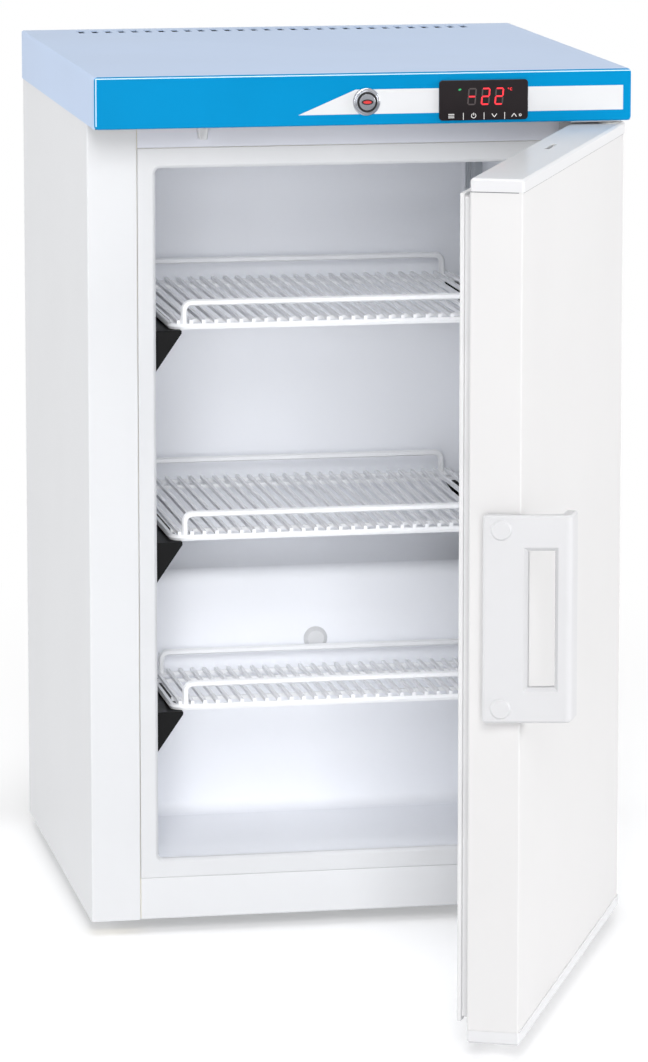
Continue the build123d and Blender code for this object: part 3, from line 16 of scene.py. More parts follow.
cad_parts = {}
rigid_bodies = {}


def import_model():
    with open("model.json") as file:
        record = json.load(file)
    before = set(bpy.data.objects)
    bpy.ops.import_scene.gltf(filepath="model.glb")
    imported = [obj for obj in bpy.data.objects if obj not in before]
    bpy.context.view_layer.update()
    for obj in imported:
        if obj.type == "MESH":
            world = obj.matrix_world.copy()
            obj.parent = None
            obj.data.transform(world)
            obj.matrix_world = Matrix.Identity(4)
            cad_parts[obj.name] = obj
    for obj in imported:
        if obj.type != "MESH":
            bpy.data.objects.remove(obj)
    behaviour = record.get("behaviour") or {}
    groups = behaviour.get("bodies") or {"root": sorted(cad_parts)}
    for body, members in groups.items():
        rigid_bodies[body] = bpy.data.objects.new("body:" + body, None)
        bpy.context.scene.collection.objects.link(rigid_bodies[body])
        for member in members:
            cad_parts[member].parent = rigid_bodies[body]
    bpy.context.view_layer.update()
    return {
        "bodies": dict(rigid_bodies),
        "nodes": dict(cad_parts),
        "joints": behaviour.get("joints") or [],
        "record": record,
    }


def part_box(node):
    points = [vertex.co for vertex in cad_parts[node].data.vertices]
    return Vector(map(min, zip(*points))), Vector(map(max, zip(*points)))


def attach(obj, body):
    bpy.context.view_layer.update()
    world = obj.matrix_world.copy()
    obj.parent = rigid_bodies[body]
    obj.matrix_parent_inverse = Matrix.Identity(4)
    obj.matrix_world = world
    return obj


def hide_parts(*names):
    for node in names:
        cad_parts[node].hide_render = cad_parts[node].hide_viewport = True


LOG = logging.getLogger("freezer")
MM = 0.001

# Meshing of softened copies: shading crease, welding distance, flatness and rounded edges.
CREASE = radians(32)
WELD = 0.005 * MM
FLAT = radians(0.3)
EDGE_ANGLE = radians(40)
EDGE_SEGMENTS = 2

# Values that every finish shares.
COAT_ROUGHNESS = 0.08
RELIEF_DEPTH = 0.2 * MM
RELIEF_DETAIL = 3.0
MOTTLE_DETAIL = 4.0
MOTTLE_RAMP = (0.3, 0.6)

Colour = tuple[float, float, float]
Point = tuple[float, float, float]


def linear(colour: Colour) -> tuple[float, float, float, float]:
    """Turns a display colour into the linear one that the shaders take.

    Args:
        colour: Red, green and blue from 0 to 255.

    Returns:
        Linear red, green, blue and an alpha of one.
    """
    shares = [value / 255 for value in colour]
    curve = [v / 12.92 if v <= 0.04045 else ((v + 0.055) / 1.055) ** 2.4 for v in shares]
    return (curve[0], curve[1], curve[2], 1.0)


class Grain(Enum):
    """How a surface's fine relief runs."""

    EVEN = (1.0, 1.0, 1.0)
    DRAWN_X = (0.02, 1.0, 1.0)


@dataclass(frozen=True)
class Finish:
    """One surface finish, made into a node material when it is first used."""

    name: str
    colour: Colour
    roughness: float
    relief: float = 0.0
    relief_size: float = 400.0
    mottle: float = 0.0
    mottle_size: float = 6.0
    metallic: float = 0.0
    coat: float = 0.0
    specular: float = 0.5
    grain: Grain = Grain.EVEN
    glow: float = 0.0

    def material(self) -> bpy.types.Material:
        """Gives the finish's material, and builds it the first time.

        Returns:
            The node material.
        """
        known = bpy.data.materials.get(self.name)
        if known:
            return known
        made = bpy.data.materials.new(self.name)
        made.use_nodes = True
        tree = made.node_tree
        shader = tree.nodes["Principled BSDF"]
        shader.inputs["Base Color"].default_value = linear(self.colour)
        shader.inputs["Roughness"].default_value = self.roughness
        shader.inputs["Metallic"].default_value = self.metallic
        shader.inputs["Coat Weight"].default_value = self.coat
        shader.inputs["Coat Roughness"].default_value = COAT_ROUGHNESS
        shader.inputs["Specular IOR Level"].default_value = self.specular
        if self.glow:
            shader.inputs["Emission Color"].default_value = linear(self.colour)
            shader.inputs["Emission Strength"].default_value = self.glow
        self._add_relief(tree, shader)
        self._add_mottle(tree, shader)
        return made

    def _coordinates(self, tree: bpy.types.NodeTree) -> bpy.types.NodeSocket:
        """Gives object coordinates, drawn out along the grain."""
        place = tree.nodes.new("ShaderNodeTexCoord")
        mapping = tree.nodes.new("ShaderNodeMapping")
        mapping.inputs["Scale"].default_value = self.grain.value
        tree.links.new(place.outputs["Object"], mapping.inputs["Vector"])
        return mapping.outputs["Vector"]

    def _add_relief(self, tree: bpy.types.NodeTree, shader: bpy.types.Node) -> None:
        """Adds the fine bumps of paint, moulding or drawing to the surface normal.

        Args:
            tree: The material's nodes.
            shader: The surface shader.
        """
        if not self.relief:
            return
        noise = tree.nodes.new("ShaderNodeTexNoise")
        noise.inputs["Scale"].default_value = self.relief_size
        noise.inputs["Detail"].default_value = RELIEF_DETAIL
        bump = tree.nodes.new("ShaderNodeBump")
        bump.inputs["Strength"].default_value = self.relief
        bump.inputs["Distance"].default_value = RELIEF_DEPTH
        tree.links.new(self._coordinates(tree), noise.inputs["Vector"])
        tree.links.new(noise.outputs["Fac"], bump.inputs["Height"])
        tree.links.new(bump.outputs["Normal"], shader.inputs["Normal"])

    def _add_mottle(self, tree: bpy.types.NodeTree, shader: bpy.types.Node) -> None:
        """Adds a slow drift to colour and gloss, as handling and light wear leave.

        Args:
            tree: The material's nodes.
            shader: The surface shader.
        """
        if not self.mottle:
            return
        noise = tree.nodes.new("ShaderNodeTexNoise")
        noise.inputs["Scale"].default_value = self.mottle_size
        noise.inputs["Detail"].default_value = MOTTLE_DETAIL
        tree.links.new(self._coordinates(tree), noise.inputs["Vector"])
        ramp = tree.nodes.new("ShaderNodeValToRGB")
        low, high = ramp.color_ramp.elements
        darker = tuple(max(0.0, v * (1 - self.mottle)) for v in self.colour)
        low.color, high.color = linear(darker), linear(self.colour)
        low.position, high.position = MOTTLE_RAMP
        tree.links.new(noise.outputs["Fac"], ramp.inputs["Fac"])
        tree.links.new(ramp.outputs["Color"], shader.inputs["Base Color"])
        spread = tree.nodes.new("ShaderNodeMapRange")
        spread.inputs["To Min"].default_value = max(0.0, self.roughness * (1 - 2 * self.mottle))
        spread.inputs["To Max"].default_value = min(1.0, self.roughness * (1 + 2 * self.mottle))
        tree.links.new(noise.outputs["Fac"], spread.inputs["Value"])
        tree.links.new(spread.outputs["Result"], shader.inputs["Roughness"])


class Look(Enum):
    """The finishes of this freezer."""

    ENAMEL = Finish("white_powder_coat", (222, 223, 225), 0.42, 0.10, 700, 0.012, 5,
                    specular=0.35)
    # Painted shade: the cabinet's white powder coat made darker on the door, standing in for the
    # duller light there.
    DOOR_SHADED_ENAMEL = Finish("door_powder_coat_painted_shade", (215, 214, 214), 0.42, 0.08, 700, 0.010, 5,
                         specular=0.35)
    COVER = Finish("cover_powder_coat", (188, 207, 235), 0.45, 0.12, 700, 0.020, 5, specular=0.3)
    # Painted shade: the cabinet's white powder coat greyed and blued on the crossmember, for the
    # shade under the fascia.
    CROSSMEMBER_SHADE = Finish("crossmember_painted_shade", (216, 218, 227), 0.42, 0.10, 700, 0.012, 5)
    # Painted shade: near black for the shade seen through the cover's vents, worn by the top deck
    # and the cover's inside.
    VENT_SHADE = Finish("vent_painted_shade", (20, 22, 26), 0.60, 0.12, 500, 0.08, 30, specular=0.2)
    FASCIA = Finish("fascia_blue_enamel", (0, 136, 191), 0.36, 0.05, 500, 0.03, 9, specular=0.04)
    # Painted highlight: a pale strip standing in for the light caught along the fascia's top and
    # left edges.
    FASCIA_HIGHLIGHT = Finish("fascia_painted_highlight", (206, 232, 246), 0.30, 0.02, 900, 0.01, 20)
    # Painted shadow: the dark line under the door's proud top cap.
    CAP_SHADOW = Finish("joint_shadow", (126, 127, 130), 0.70, 0.05, 900, 0.03, 40, specular=0.1)
    BAND = Finish("band_film", (215, 216, 218), 0.35, 0.03, 900, 0.01, 20)
    ZINC = Finish("galvanised_sheet", (172, 176, 180), 0.42, 0.15, 260, 0.12, 60, metallic=0.85)
    LINER = Finish("liner_gloss", (248, 250, 255), 0.24, 0.05, 120, 0.008, 8)
    TRIM = Finish("white_moulding", (218, 219, 221), 0.30, 0.05, 500, 0.012, 12, specular=0.4)
    HANDLE = Finish("handle_moulding", (204, 204, 206), 0.38, 0.06, 500, 0.012, 12, specular=0.4)
    CAP = Finish("gloss_cap", (215, 215, 217), 0.30, 0.03, 300, 0.01, 12, coat=0.1)
    GASKET = Finish("seal_extrusion", (214, 214, 215), 0.50, 0.10, 900, 0.02, 30)
    BLACK = Finish("black_moulding", (26, 26, 28), 0.42, 0.20, 900, 0.10, 40)
    RUNNER = Finish("runner_moulding", (16, 16, 17), 0.50, 0.20, 900, 0.10, 40, specular=0.12)
    GLASS = Finish("display_window", (34, 29, 31), 0.10, 0.02, 300, 0.05, 30, specular=0.15)
    WIRE = Finish("coated_wire", (250, 251, 253), 0.30, 0.06, 900, 0.01, 40, coat=0.3,
                  specular=0.7)
    NICKEL = Finish("bright_nickel", (178, 180, 186), 0.12, 0.03, 500, 0.04, 60, metallic=1.0)
    STEEL = Finish("zinc_plated_steel", (168, 170, 174), 0.32, 0.10, 600, 0.08, 80, metallic=1.0)
    HINGE = Finish("hinge_steel", (140, 142, 146), 0.36, 0.12, 500, 0.10, 60, metallic=0.95,
                   grain=Grain.DRAWN_X)
    BUSH = Finish("acetal", (226, 226, 222), 0.40, 0.05, 700, 0.02, 30)
    FOAM = Finish("foam_core", (228, 214, 168), 0.90, 0.60, 420, 0.08, 60)
    ALUMINIUM = Finish("aluminium_sheet", (196, 198, 202), 0.35, 0.10, 500, 0.05, 30,
                       metallic=1.0, grain=Grain.DRAWN_X)
    SHELL = Finish("compressor_enamel", (20, 20, 22), 0.30, 0.10, 260, 0.15, 30, coat=0.3)
    RUBBER = Finish("black_rubber", (24, 24, 25), 0.75, 0.20, 900, 0.10, 60)
    COPPER = Finish("drawn_copper", (196, 120, 84), 0.26, 0.08, 600, 0.16, 60, metallic=1.0)
    CONDENSER = Finish("condenser_enamel", (28, 28, 30), 0.40, 0.10, 700, 0.12, 50)
    GUARD = Finish("grey_moulding", (176, 181, 187), 0.42, 0.08, 800, 0.03, 30)
    PROBE = Finish("probe_sleeve", (38, 38, 40), 0.50, 0.10, 900, 0.05, 60)
    MAGNET = Finish("ferrite", (64, 64, 66), 0.60, 0.20, 900, 0.10, 60)
    LIT = Finish("lit_segment", (232, 36, 48), 0.40, glow=0.9)
    # Painted light: the unlit segments glow faintly, standing in for light that falls on them
    # behind the window.
    UNLIT_GLOW = Finish("unlit_segment_painted_glow", (58, 48, 49), 0.40, glow=0.08)
    GREEN = Finish("green_lamp", (20, 150, 84), 0.40, glow=0.6)
    # Painted light: the white key print glows, standing in for light that falls on it behind the
    # dark window.
    PRINT_GLOW = Finish("white_print_painted_glow", (224, 222, 220), 0.45, 0.05, 900, 0.02, 60, glow=0.25)
    RED_SHUTTER = Finish("red_shutter", (214, 40, 40), 0.35, 0.05, 900, 0.05, 60)
    # Painted shade: the dark of the gap round the lock's plug and of the keyway round its
    # shutter.
    KEYWAY_SHADE = Finish("lock_painted_shade", (30, 30, 32), 0.45, 0.10, 900, 0.10, 60, metallic=0.6)


@dataclass(frozen=True)
class Dress:
    """What one CAD node wears: its finish, whether it gets a softened copy, that copy's rounded
    edge in metres, and the painted shade on a sheet's inside, if it has one."""

    look: Look
    soften: bool = False
    edge: float = 0.0
    inside: Look | None = None


class Fitter:
    """Puts meshes into the scene and hangs them on the CAD bodies. The door stands open by
    door_open at rest, and faces deeper than sheet_inside lie inside a folded sheet."""

    door_open = radians(66.5)
    sheet_inside = 0.7 * MM

    def __init__(self, frame: dict) -> None:
        """Keeps the frame.
        """
        self.frame = frame
        joints = frame["record"]["behaviour"]["joints"]
        self.hinge = Vector(next(j["pos_m"] for j in joints if j["name"] == "door_swing"))
        self.slots: dict[str, str] = {
            row["node"]: row["material_slot"] for row in frame["record"]["subparts"]
        }
        self.body_of: dict[str, str] = {
            node: body
            for body, nodes in frame["record"]["behaviour"]["bodies"].items()
            for node in nodes
        }

    def swing_open(self, bm: bmesh.types.BMesh) -> None:
        """Turns a mesh of the closed door to where the door stands at rest."""
        turn = Matrix.Rotation(self.door_open, 3, "Z")
        bmesh.ops.rotate(bm, cent=self.hinge, matrix=turn, verts=bm.verts)

    def closed_box(self, node: str) -> tuple[Vector, Vector]:
        """Gives the corners that a node of the door has when the door is closed.

        Args:
            node: The node's name.

        Returns:
            Its lowest and its highest corner, in metres.
        """
        turn = Matrix.Rotation(-self.door_open, 3, "Z")
        points = [turn @ (vert.co - self.hinge) + self.hinge
                  for vert in self.frame["nodes"][node].data.vertices]
        return (Vector([min(point[axis] for point in points) for axis in range(3)]),
                Vector([max(point[axis] for point in points) for axis in range(3)]))

    def place(self, name: str, bm: bmesh.types.BMesh, look: Look, body: str, slot: str,
              edge: float = 0.0, smooth: bool = True) -> bpy.types.Object:
        """Makes an object of a mesh, dresses it and hangs it on a body.

        Args:
            name: The piece's name.
            bm: The finished mesh, which is freed.
            look: The piece's finish.
            body: The CAD body that carries it.
            slot: The record's material slot that it belongs to; not used.
            edge: Width in metres of a rounded edge added by a modifier, or 0.
            smooth: Whether soft creases are shaded smooth.

        Returns:
            The new object.
        """
        if smooth:
            for face in bm.faces:
                face.smooth = True
            for seam in bm.edges:
                seam.smooth = seam.calc_face_angle(0.0) < CREASE
        mesh = bpy.data.meshes.new(name)
        bm.to_mesh(mesh)
        bm.free()
        mesh.materials.append(look.value.material())
        piece = bpy.data.objects.new(name, mesh)
        bpy.context.scene.collection.objects.link(piece)
        if edge:
            rounding = piece.modifiers.new("edge", "BEVEL")
            rounding.width = edge
            rounding.segments = EDGE_SEGMENTS
            rounding.limit_method = "ANGLE"
            rounding.angle_limit = EDGE_ANGLE
            rounding.use_clamp_overlap = True
        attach(piece, body)
        LOG.info("%s: %d faces on %s", name, len(mesh.polygons), body)
        return piece

    def dress(self, node: str, wear: Dress) -> None:
        """Gives a CAD node its finish, on a softened copy where it has curves.

        Args:
            node: The node's name.
            wear: What it wears.
        """
        source = self.frame["nodes"][node]
        if not wear.soften:
            if source.material_slots:
                source.material_slots[0].material = wear.look.value.material()
            else:
                source.data.materials.append(wear.look.value.material())
            return
        bm = bmesh.new()
        bm.from_mesh(source.data)
        bmesh.ops.remove_doubles(bm, verts=bm.verts, dist=WELD)
        bmesh.ops.dissolve_limit(bm, angle_limit=FLAT, verts=bm.verts, edges=bm.edges)
        copy = self.place(f"{node}_finished", bm, wear.look, self.body_of[node],
                          self.slots[node], wear.edge)
        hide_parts(node)
        if wear.inside:
            self.line(copy, node, wear.inside)

    def line(self, piece: bpy.types.Object, node: str, look: Look) -> None:
        """Gives the faces that lie inside a folded sheet a second, dark finish as painted shade.

        Args:
            piece: The node's finished copy.
            node: The node, whose box is the sheet's outside.
            look: The painted shade of the inside.
        """
        low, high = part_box(node)
        piece.data.materials.append(look.value.material())
        for face in piece.data.polygons:
            depth = min(min(face.center[i] - low[i], high[i] - face.center[i]) for i in range(3))
            if depth > self.sheet_inside:
                face.material_index = 1


@dataclass
class Carcass:
    """Everything that comes straight from the CAD model, with its finish."""

    wear: tuple[tuple[str, Dress], ...] = (
        ("side_panel_left", Dress(Look.ENAMEL, True)),
        ("side_panel_right", Dress(Look.ENAMEL, True)),
        ("front_plinth", Dress(Look.ENAMEL, True)),
        ("upper_crossmember", Dress(Look.CROSSMEMBER_SHADE, True)),
        ("base_pan", Dress(Look.ZINC, True)),
        ("rear_panel", Dress(Look.ZINC, True)),
        ("breaker_frame", Dress(Look.TRIM, True, 0.5 * MM)),
        ("inner_liner", Dress(Look.LINER, True)),
        ("evaporator_panel", Dress(Look.ALUMINIUM)),
        ("foam_insulation", Dress(Look.FOAM)),
        # The top deck and the inside of the top cover wear painted shade, the dark seen through
        # the vents.
        ("top_deck", Dress(Look.VENT_SHADE, True)),
        ("top_cover", Dress(Look.COVER, True, inside=Look.VENT_SHADE)),
        ("fascia_panel", Dress(Look.FASCIA, True)),
        ("fascia_band", Dress(Look.BAND)),
        ("controller_housing", Dress(Look.BLACK, True)),
        ("controller_lens", Dress(Look.GLASS, True)),
        ("lock_barrel", Dress(Look.NICKEL, True, 0.3 * MM)),
        ("lock_nut", Dress(Look.STEEL, True, 0.3 * MM)),
        ("lock_plug", Dress(Look.NICKEL, True, 0.2 * MM)),
        ("lock_cam", Dress(Look.STEEL, True, 0.3 * MM)),
        ("hinge_plate_top", Dress(Look.HINGE, True, 0.2 * MM)),
        ("hinge_plate_bottom", Dress(Look.HINGE, True, 0.2 * MM)),
        ("hinge_screws", Dress(Look.STEEL, True)),
        ("feet", Dress(Look.RUBBER, True, 0.4 * MM)),
        ("door_sensor", Dress(Look.TRIM, True)),
        ("shelf_runners", Dress(Look.RUNNER, True, 0.4 * MM)),
        ("port_plug", Dress(Look.TRIM, True)),
        ("probe_guard", Dress(Look.GUARD, True, 0.3 * MM)),
        ("temperature_probe", Dress(Look.PROBE, True)),
        ("compressor_shell", Dress(Look.SHELL, True)),
        ("compressor_mount", Dress(Look.SHELL, True, 0.4 * MM)),
        ("compressor_grommets", Dress(Look.RUBBER, True)),
        ("compressor_bolts", Dress(Look.STEEL, True, 0.2 * MM)),
        ("start_relay", Dress(Look.BLACK, True)),
        ("condenser", Dress(Look.CONDENSER, True)),
        ("condenser_clips", Dress(Look.BLACK, True, 0.2 * MM)),
        ("filter_drier", Dress(Look.COPPER, True)),
        ("discharge_tube", Dress(Look.COPPER, True)),
        ("suction_tube", Dress(Look.COPPER, True)),
        ("capillary_tube", Dress(Look.COPPER, True)),
        ("cord_gland", Dress(Look.RUBBER, True, 0.3 * MM)),
        ("door_skin", Dress(Look.DOOR_SHADED_ENAMEL, True)),
        ("door_cap_top", Dress(Look.CAP, True)),
        ("door_cap_bottom", Dress(Look.CAP, True)),
        ("door_inner_liner", Dress(Look.LINER, True)),
        ("door_foam", Dress(Look.FOAM)),
        ("door_gasket", Dress(Look.GASKET, True, 0.6 * MM)),
        ("door_handle", Dress(Look.HANDLE, True)),
        ("handle_screws", Dress(Look.STEEL, True)),
        ("handle_caps", Dress(Look.HANDLE, True)),
        ("hinge_bushes", Dress(Look.BUSH, True)),
        ("sensor_magnet", Dress(Look.MAGNET)),
        ("shelf_deck_1", Dress(Look.WIRE, True)),
        ("shelf_deck_2", Dress(Look.WIRE, True)),
        ("shelf_deck_3", Dress(Look.WIRE, True)),
        ("shelf_rails_1", Dress(Look.WIRE, True)),
        ("shelf_rails_2", Dress(Look.WIRE, True)),
        ("shelf_rails_3", Dress(Look.WIRE, True)),
    )

    def build(self, fitter: Fitter) -> None:
        """Dresses every CAD node."""
        for node, wear in self.wear:
            fitter.dress(node, wear)


class Stroke(Enum):
    """The seven strokes of a digit, as start and end on a grid one wide and two high."""

    TOP = ((0, 2), (1, 2))
    UPPER_LEFT = ((0, 1), (0, 2))
    UPPER_RIGHT = ((1, 1), (1, 2))
    MIDDLE = ((0, 1), (1, 1))
    LOWER_LEFT = ((0, 0), (0, 1))
    LOWER_RIGHT = ((1, 0), (1, 1))
    BOTTOM = ((0, 0), (1, 0))


MINUS = (Stroke.MIDDLE,)
TWO = (Stroke.TOP, Stroke.UPPER_RIGHT, Stroke.MIDDLE, Stroke.LOWER_LEFT, Stroke.BOTTOM)


@dataclass
class Controller:
    """Display and touch keys printed behind the controller's dark front, in millimetres from
    the front's left and top edges."""

    left: float = 0.0
    top: float = 0.0
    face: float = 0.0
    height: float = 33.3
    digit_lefts: tuple[float, ...] = (23.4, 34.9, 46.4)
    digit_top: float = 6.6
    digit_width: float = 7.2
    digit_height: float = 14.2
    stroke: float = 1.2
    stroke_gap: float = 0.12
    slant: float = 0.08
    skin: float = 0.06
    degree_ring: tuple[float, ...] = (58.4, 7.4, 0.45, 0.3)
    letter_ring: tuple[float, ...] = (60.6, 7.9, 0.95, 0.4)
    lamp_ends: tuple[tuple[float, float], ...] = ((16.0, 8.2), (18.6, 7.4))
    lamp_width: float = 1.4
    key_lines: tuple[float, ...] = (20.3, 37.8, 55.2)
    key_top: float = 27.0
    key_margin: float = 0.6
    thin_line: float = 0.45
    thick_line: float = 0.5
    menu_ends: tuple[float, float] = (7.6, 12.6)
    menu_pitch: float = 1.4
    power_middle: float = 29.0
    power_radius: float = 1.9
    power_stem: tuple[float, float] = (2.4, 0.2)
    arrows: tuple[tuple[float, int], ...] = ((46.5, 1), (63.2, -1))
    arrow_half: tuple[float, float] = (2.1, 1.4)
    dot_middle: float = 68.4
    dot_radius: float = 0.9
    dot_steps: int = 10
    readout: tuple[tuple[Stroke, ...], ...] = (MINUS, TWO, TWO)

    def point(self, x: float, down: float) -> Vector:
        """Turns a place on the front into a point of the frame.

        Args:
            x: Millimetres from the left edge.
            down: Millimetres from the top edge.

        Returns:
            The point, in metres.
        """
        return Vector((self.left + x, self.face, self.top - down)) * MM

    def _bar(self, bm: bmesh.types.BMesh, start: Vector, end: Vector, width: float,
             pointed: float = 0.0) -> None:
        """Adds one thin bar between two points of the front.

        Args:
            bm: The mesh that it goes into.
            start: One end of its middle line, in metres.
            end: The other end.
            width: Its width in metres.
            pointed: How far its ends come to a point, in metres.
        """
        along = (end - start).normalized()
        across = Vector((-along.z, 0, along.x)) * width / 2
        tip = along * pointed
        corners = [start + tip - across, end - tip - across, end, end - tip + across,
                   start + tip + across, start]
        if not pointed:
            corners = [corners[i] for i in (0, 1, 3, 4)]
        face = bm.faces.new([bm.verts.new(c) for c in corners])
        grown = bmesh.ops.extrude_face_region(bm, geom=[face])["geom"]
        bmesh.ops.translate(bm, vec=(0, -self.skin * MM, 0),
                            verts=[g for g in grown if isinstance(g, bmesh.types.BMVert)])

    def _digit(self, left: float, strokes: Sequence[Stroke]) -> bmesh.types.BMesh:
        """Draws some of the strokes of one digit.

        Args:
            left: The digit's left edge.
            strokes: The strokes to draw.

        Returns:
            The mesh.
        """
        bm = bmesh.new()
        wide = self.digit_width - self.stroke
        high = (self.digit_height - self.stroke) / 2
        for stroke in strokes:
            ends = []
            for x, up in stroke.value:
                rise = self.stroke / 2 + up * high
                lean = self.slant * rise
                ends.append(self.point(left + self.stroke / 2 + x * wide + lean,
                                       self.digit_top + self.digit_height - rise))
            along = (ends[1] - ends[0]).normalized() * self.stroke_gap * MM
            self._bar(bm, ends[0] + along, ends[1] - along, self.stroke * MM,
                      self.stroke / 2 * MM)
        return bm

    def _ring(self, bm: bmesh.types.BMesh, x: float, down: float, radius: float, width: float,
              start: float = 0.0, turn: float = 2 * pi, steps: int = 18) -> None:
        """Adds a thin ring or arc of bars round a point of the front.

        Args:
            bm: The mesh that it goes into.
            x: The middle, from the left edge.
            down: The middle, from the top edge.
            radius: Its radius.
            width: The width of its line.
            start: Where it starts, in radians from straight right.
            turn: How far it goes round.
            steps: How many bars it has.
        """
        places = [start + turn * i / steps for i in range(steps + 1)]
        dots = [self.point(x + radius * cos(a), down - radius * sin(a)) for a in places]
        for here, there in zip(dots[:-1], dots[1:]):
            self._bar(bm, here, there, width * MM)

    def _print(self) -> bmesh.types.BMesh:
        """Draws the key lines and plain key signs.

        Returns:
            The mesh.
        """
        bm = bmesh.new()
        for x in self.key_lines:
            self._bar(bm, self.point(x, self.key_top),
                      self.point(x, self.height - self.key_margin), self.thin_line * MM)
        middle = (self.key_top + self.height) / 2 - self.key_margin
        for down in (-self.menu_pitch, 0.0, self.menu_pitch):
            start, end = (self.point(x, middle + down) for x in self.menu_ends)
            self._bar(bm, start, end, self.thick_line * MM)
        self._ring(bm, self.power_middle, middle, self.power_radius, self.thin_line,
                   radians(120), radians(300))
        start, end = (self.point(self.power_middle, middle - up) for up in self.power_stem)
        self._bar(bm, start, end, self.thin_line * MM)
        half_width, half_height = self.arrow_half
        for x, way in self.arrows:
            for side in (-1, 1):
                self._bar(bm, self.point(x, middle + half_height * way),
                          self.point(x + side * half_width, middle - half_height * way),
                          self.thick_line * MM)
        self._ring(bm, self.dot_middle, middle, self.dot_radius, self.thick_line,
                   steps=self.dot_steps)
        return bm

    def _show(self, fitter: Fitter, name: str, bm: bmesh.types.BMesh, look: Look) -> None:
        """Places one sign on the front.

        Args:
            fitter: What places the piece.
            name: The piece's name.
            bm: Its mesh.
            look: Its finish.
        """
        bmesh.ops.recalc_face_normals(bm, faces=bm.faces)
        fitter.place(name, bm, look, "cabinet", fitter.slots["controller_lens"], smooth=False)

    def build(self, fitter: Fitter) -> None:
        """Adds the digits, the lamp, the unit and the key signs."""
        low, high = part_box("controller_lens")
        self.left, self.face, self.top = low[0] / MM, low[1] / MM, high[2] / MM
        for number, (left, lit) in enumerate(zip(self.digit_lefts, self.readout), 1):
            unlit = [stroke for stroke in Stroke if stroke not in lit]
            self._show(fitter, f"digit_{number}_lit", self._digit(left, lit), Look.LIT)
            self._show(fitter, f"digit_{number}_unlit", self._digit(left, unlit), Look.UNLIT_GLOW)
        unit = bmesh.new()
        self._ring(unit, *self.degree_ring, steps=self.dot_steps)
        self._ring(unit, *self.letter_ring, radians(45), radians(270), 12)
        self._show(fitter, "unit_sign", unit, Look.LIT)
        lamp = bmesh.new()
        start, end = (self.point(*place) for place in self.lamp_ends)
        self._bar(lamp, start, end, self.lamp_width * MM, self.lamp_width / 2 * MM)
        self._show(fitter, "running_lamp", lamp, Look.GREEN)
        self._show(fitter, "key_signs", self._print(), Look.PRINT_GLOW)


@dataclass
class EdgeLines:
    """The painted highlight along the fascia's top and left edges, and the painted shadow line
    under the door's proud top cap, in millimetres."""

    highlight_inset: float = 0.9
    highlight_width: float = 0.8
    highlight_rise: float = 0.06
    highlight_foot: float = 2.7
    shadow_height: float = 0.8
    shadow_rise: float = 0.10
    shadow_corner: float = 3.0

    def _strip(self, bm: bmesh.types.BMesh, low: Point, high: Point) -> None:
        """Adds a thin strip between two opposite corners.

        Args:
            bm: The mesh that it goes into.
            low: Its lowest corner, in metres.
            high: Its highest corner.
        """
        verts = bmesh.ops.create_cube(bm, size=1.0)["verts"]
        bmesh.ops.scale(bm, vec=Vector(high) - Vector(low), verts=verts)
        bmesh.ops.translate(bm, vec=(Vector(high) + Vector(low)) / 2, verts=verts)

    def _fascia_highlight(self, fitter: Fitter) -> None:
        """Adds the painted highlight along the top and the left of the fascia."""
        low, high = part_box("fascia_panel")
        inset, width = self.highlight_inset * MM, self.highlight_width * MM
        front, back = low[1] - self.highlight_rise * MM, low[1]
        bm = bmesh.new()
        self._strip(bm, (low[0] + inset, front, high[2] - inset - width),
                    (high[0] - inset, back, high[2] - inset))
        self._strip(bm, (low[0] + inset, front, low[2] + self.highlight_foot * MM),
                    (low[0] + inset + width, back, high[2] - inset - width))
        fitter.place("fascia_edge_highlight", bm, Look.FASCIA_HIGHLIGHT, "cabinet",
                     fitter.slots["fascia_panel"], smooth=False)

    def _cap_shadow(self, fitter: Fitter) -> None:
        """Adds the painted shadow line where the door's top cap stands proud of its skin."""
        low, high = fitter.closed_box("door_skin")
        rise, corner = self.shadow_rise * MM, self.shadow_corner * MM
        high_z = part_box("door_cap_top")[0][2]
        low_z = high_z - self.shadow_height * MM
        bm = bmesh.new()
        self._strip(bm, (low[0] - rise, low[1] + corner, low_z), (low[0], high[1] - rise, high_z))
        self._strip(bm, (low[0] + corner, low[1] - rise, low_z),
                    (high[0] - corner, low[1], high_z))
        fitter.swing_open(bm)
        fitter.place("door_cap_shadow_line", bm, Look.CAP_SHADOW, "door", fitter.slots["door_skin"],
                     smooth=False)

    def build(self, fitter: Fitter) -> None:
        """Adds the fascia's painted highlight and the cap's painted shadow line."""
        self._fascia_highlight(fitter)
        self._cap_shadow(fitter)


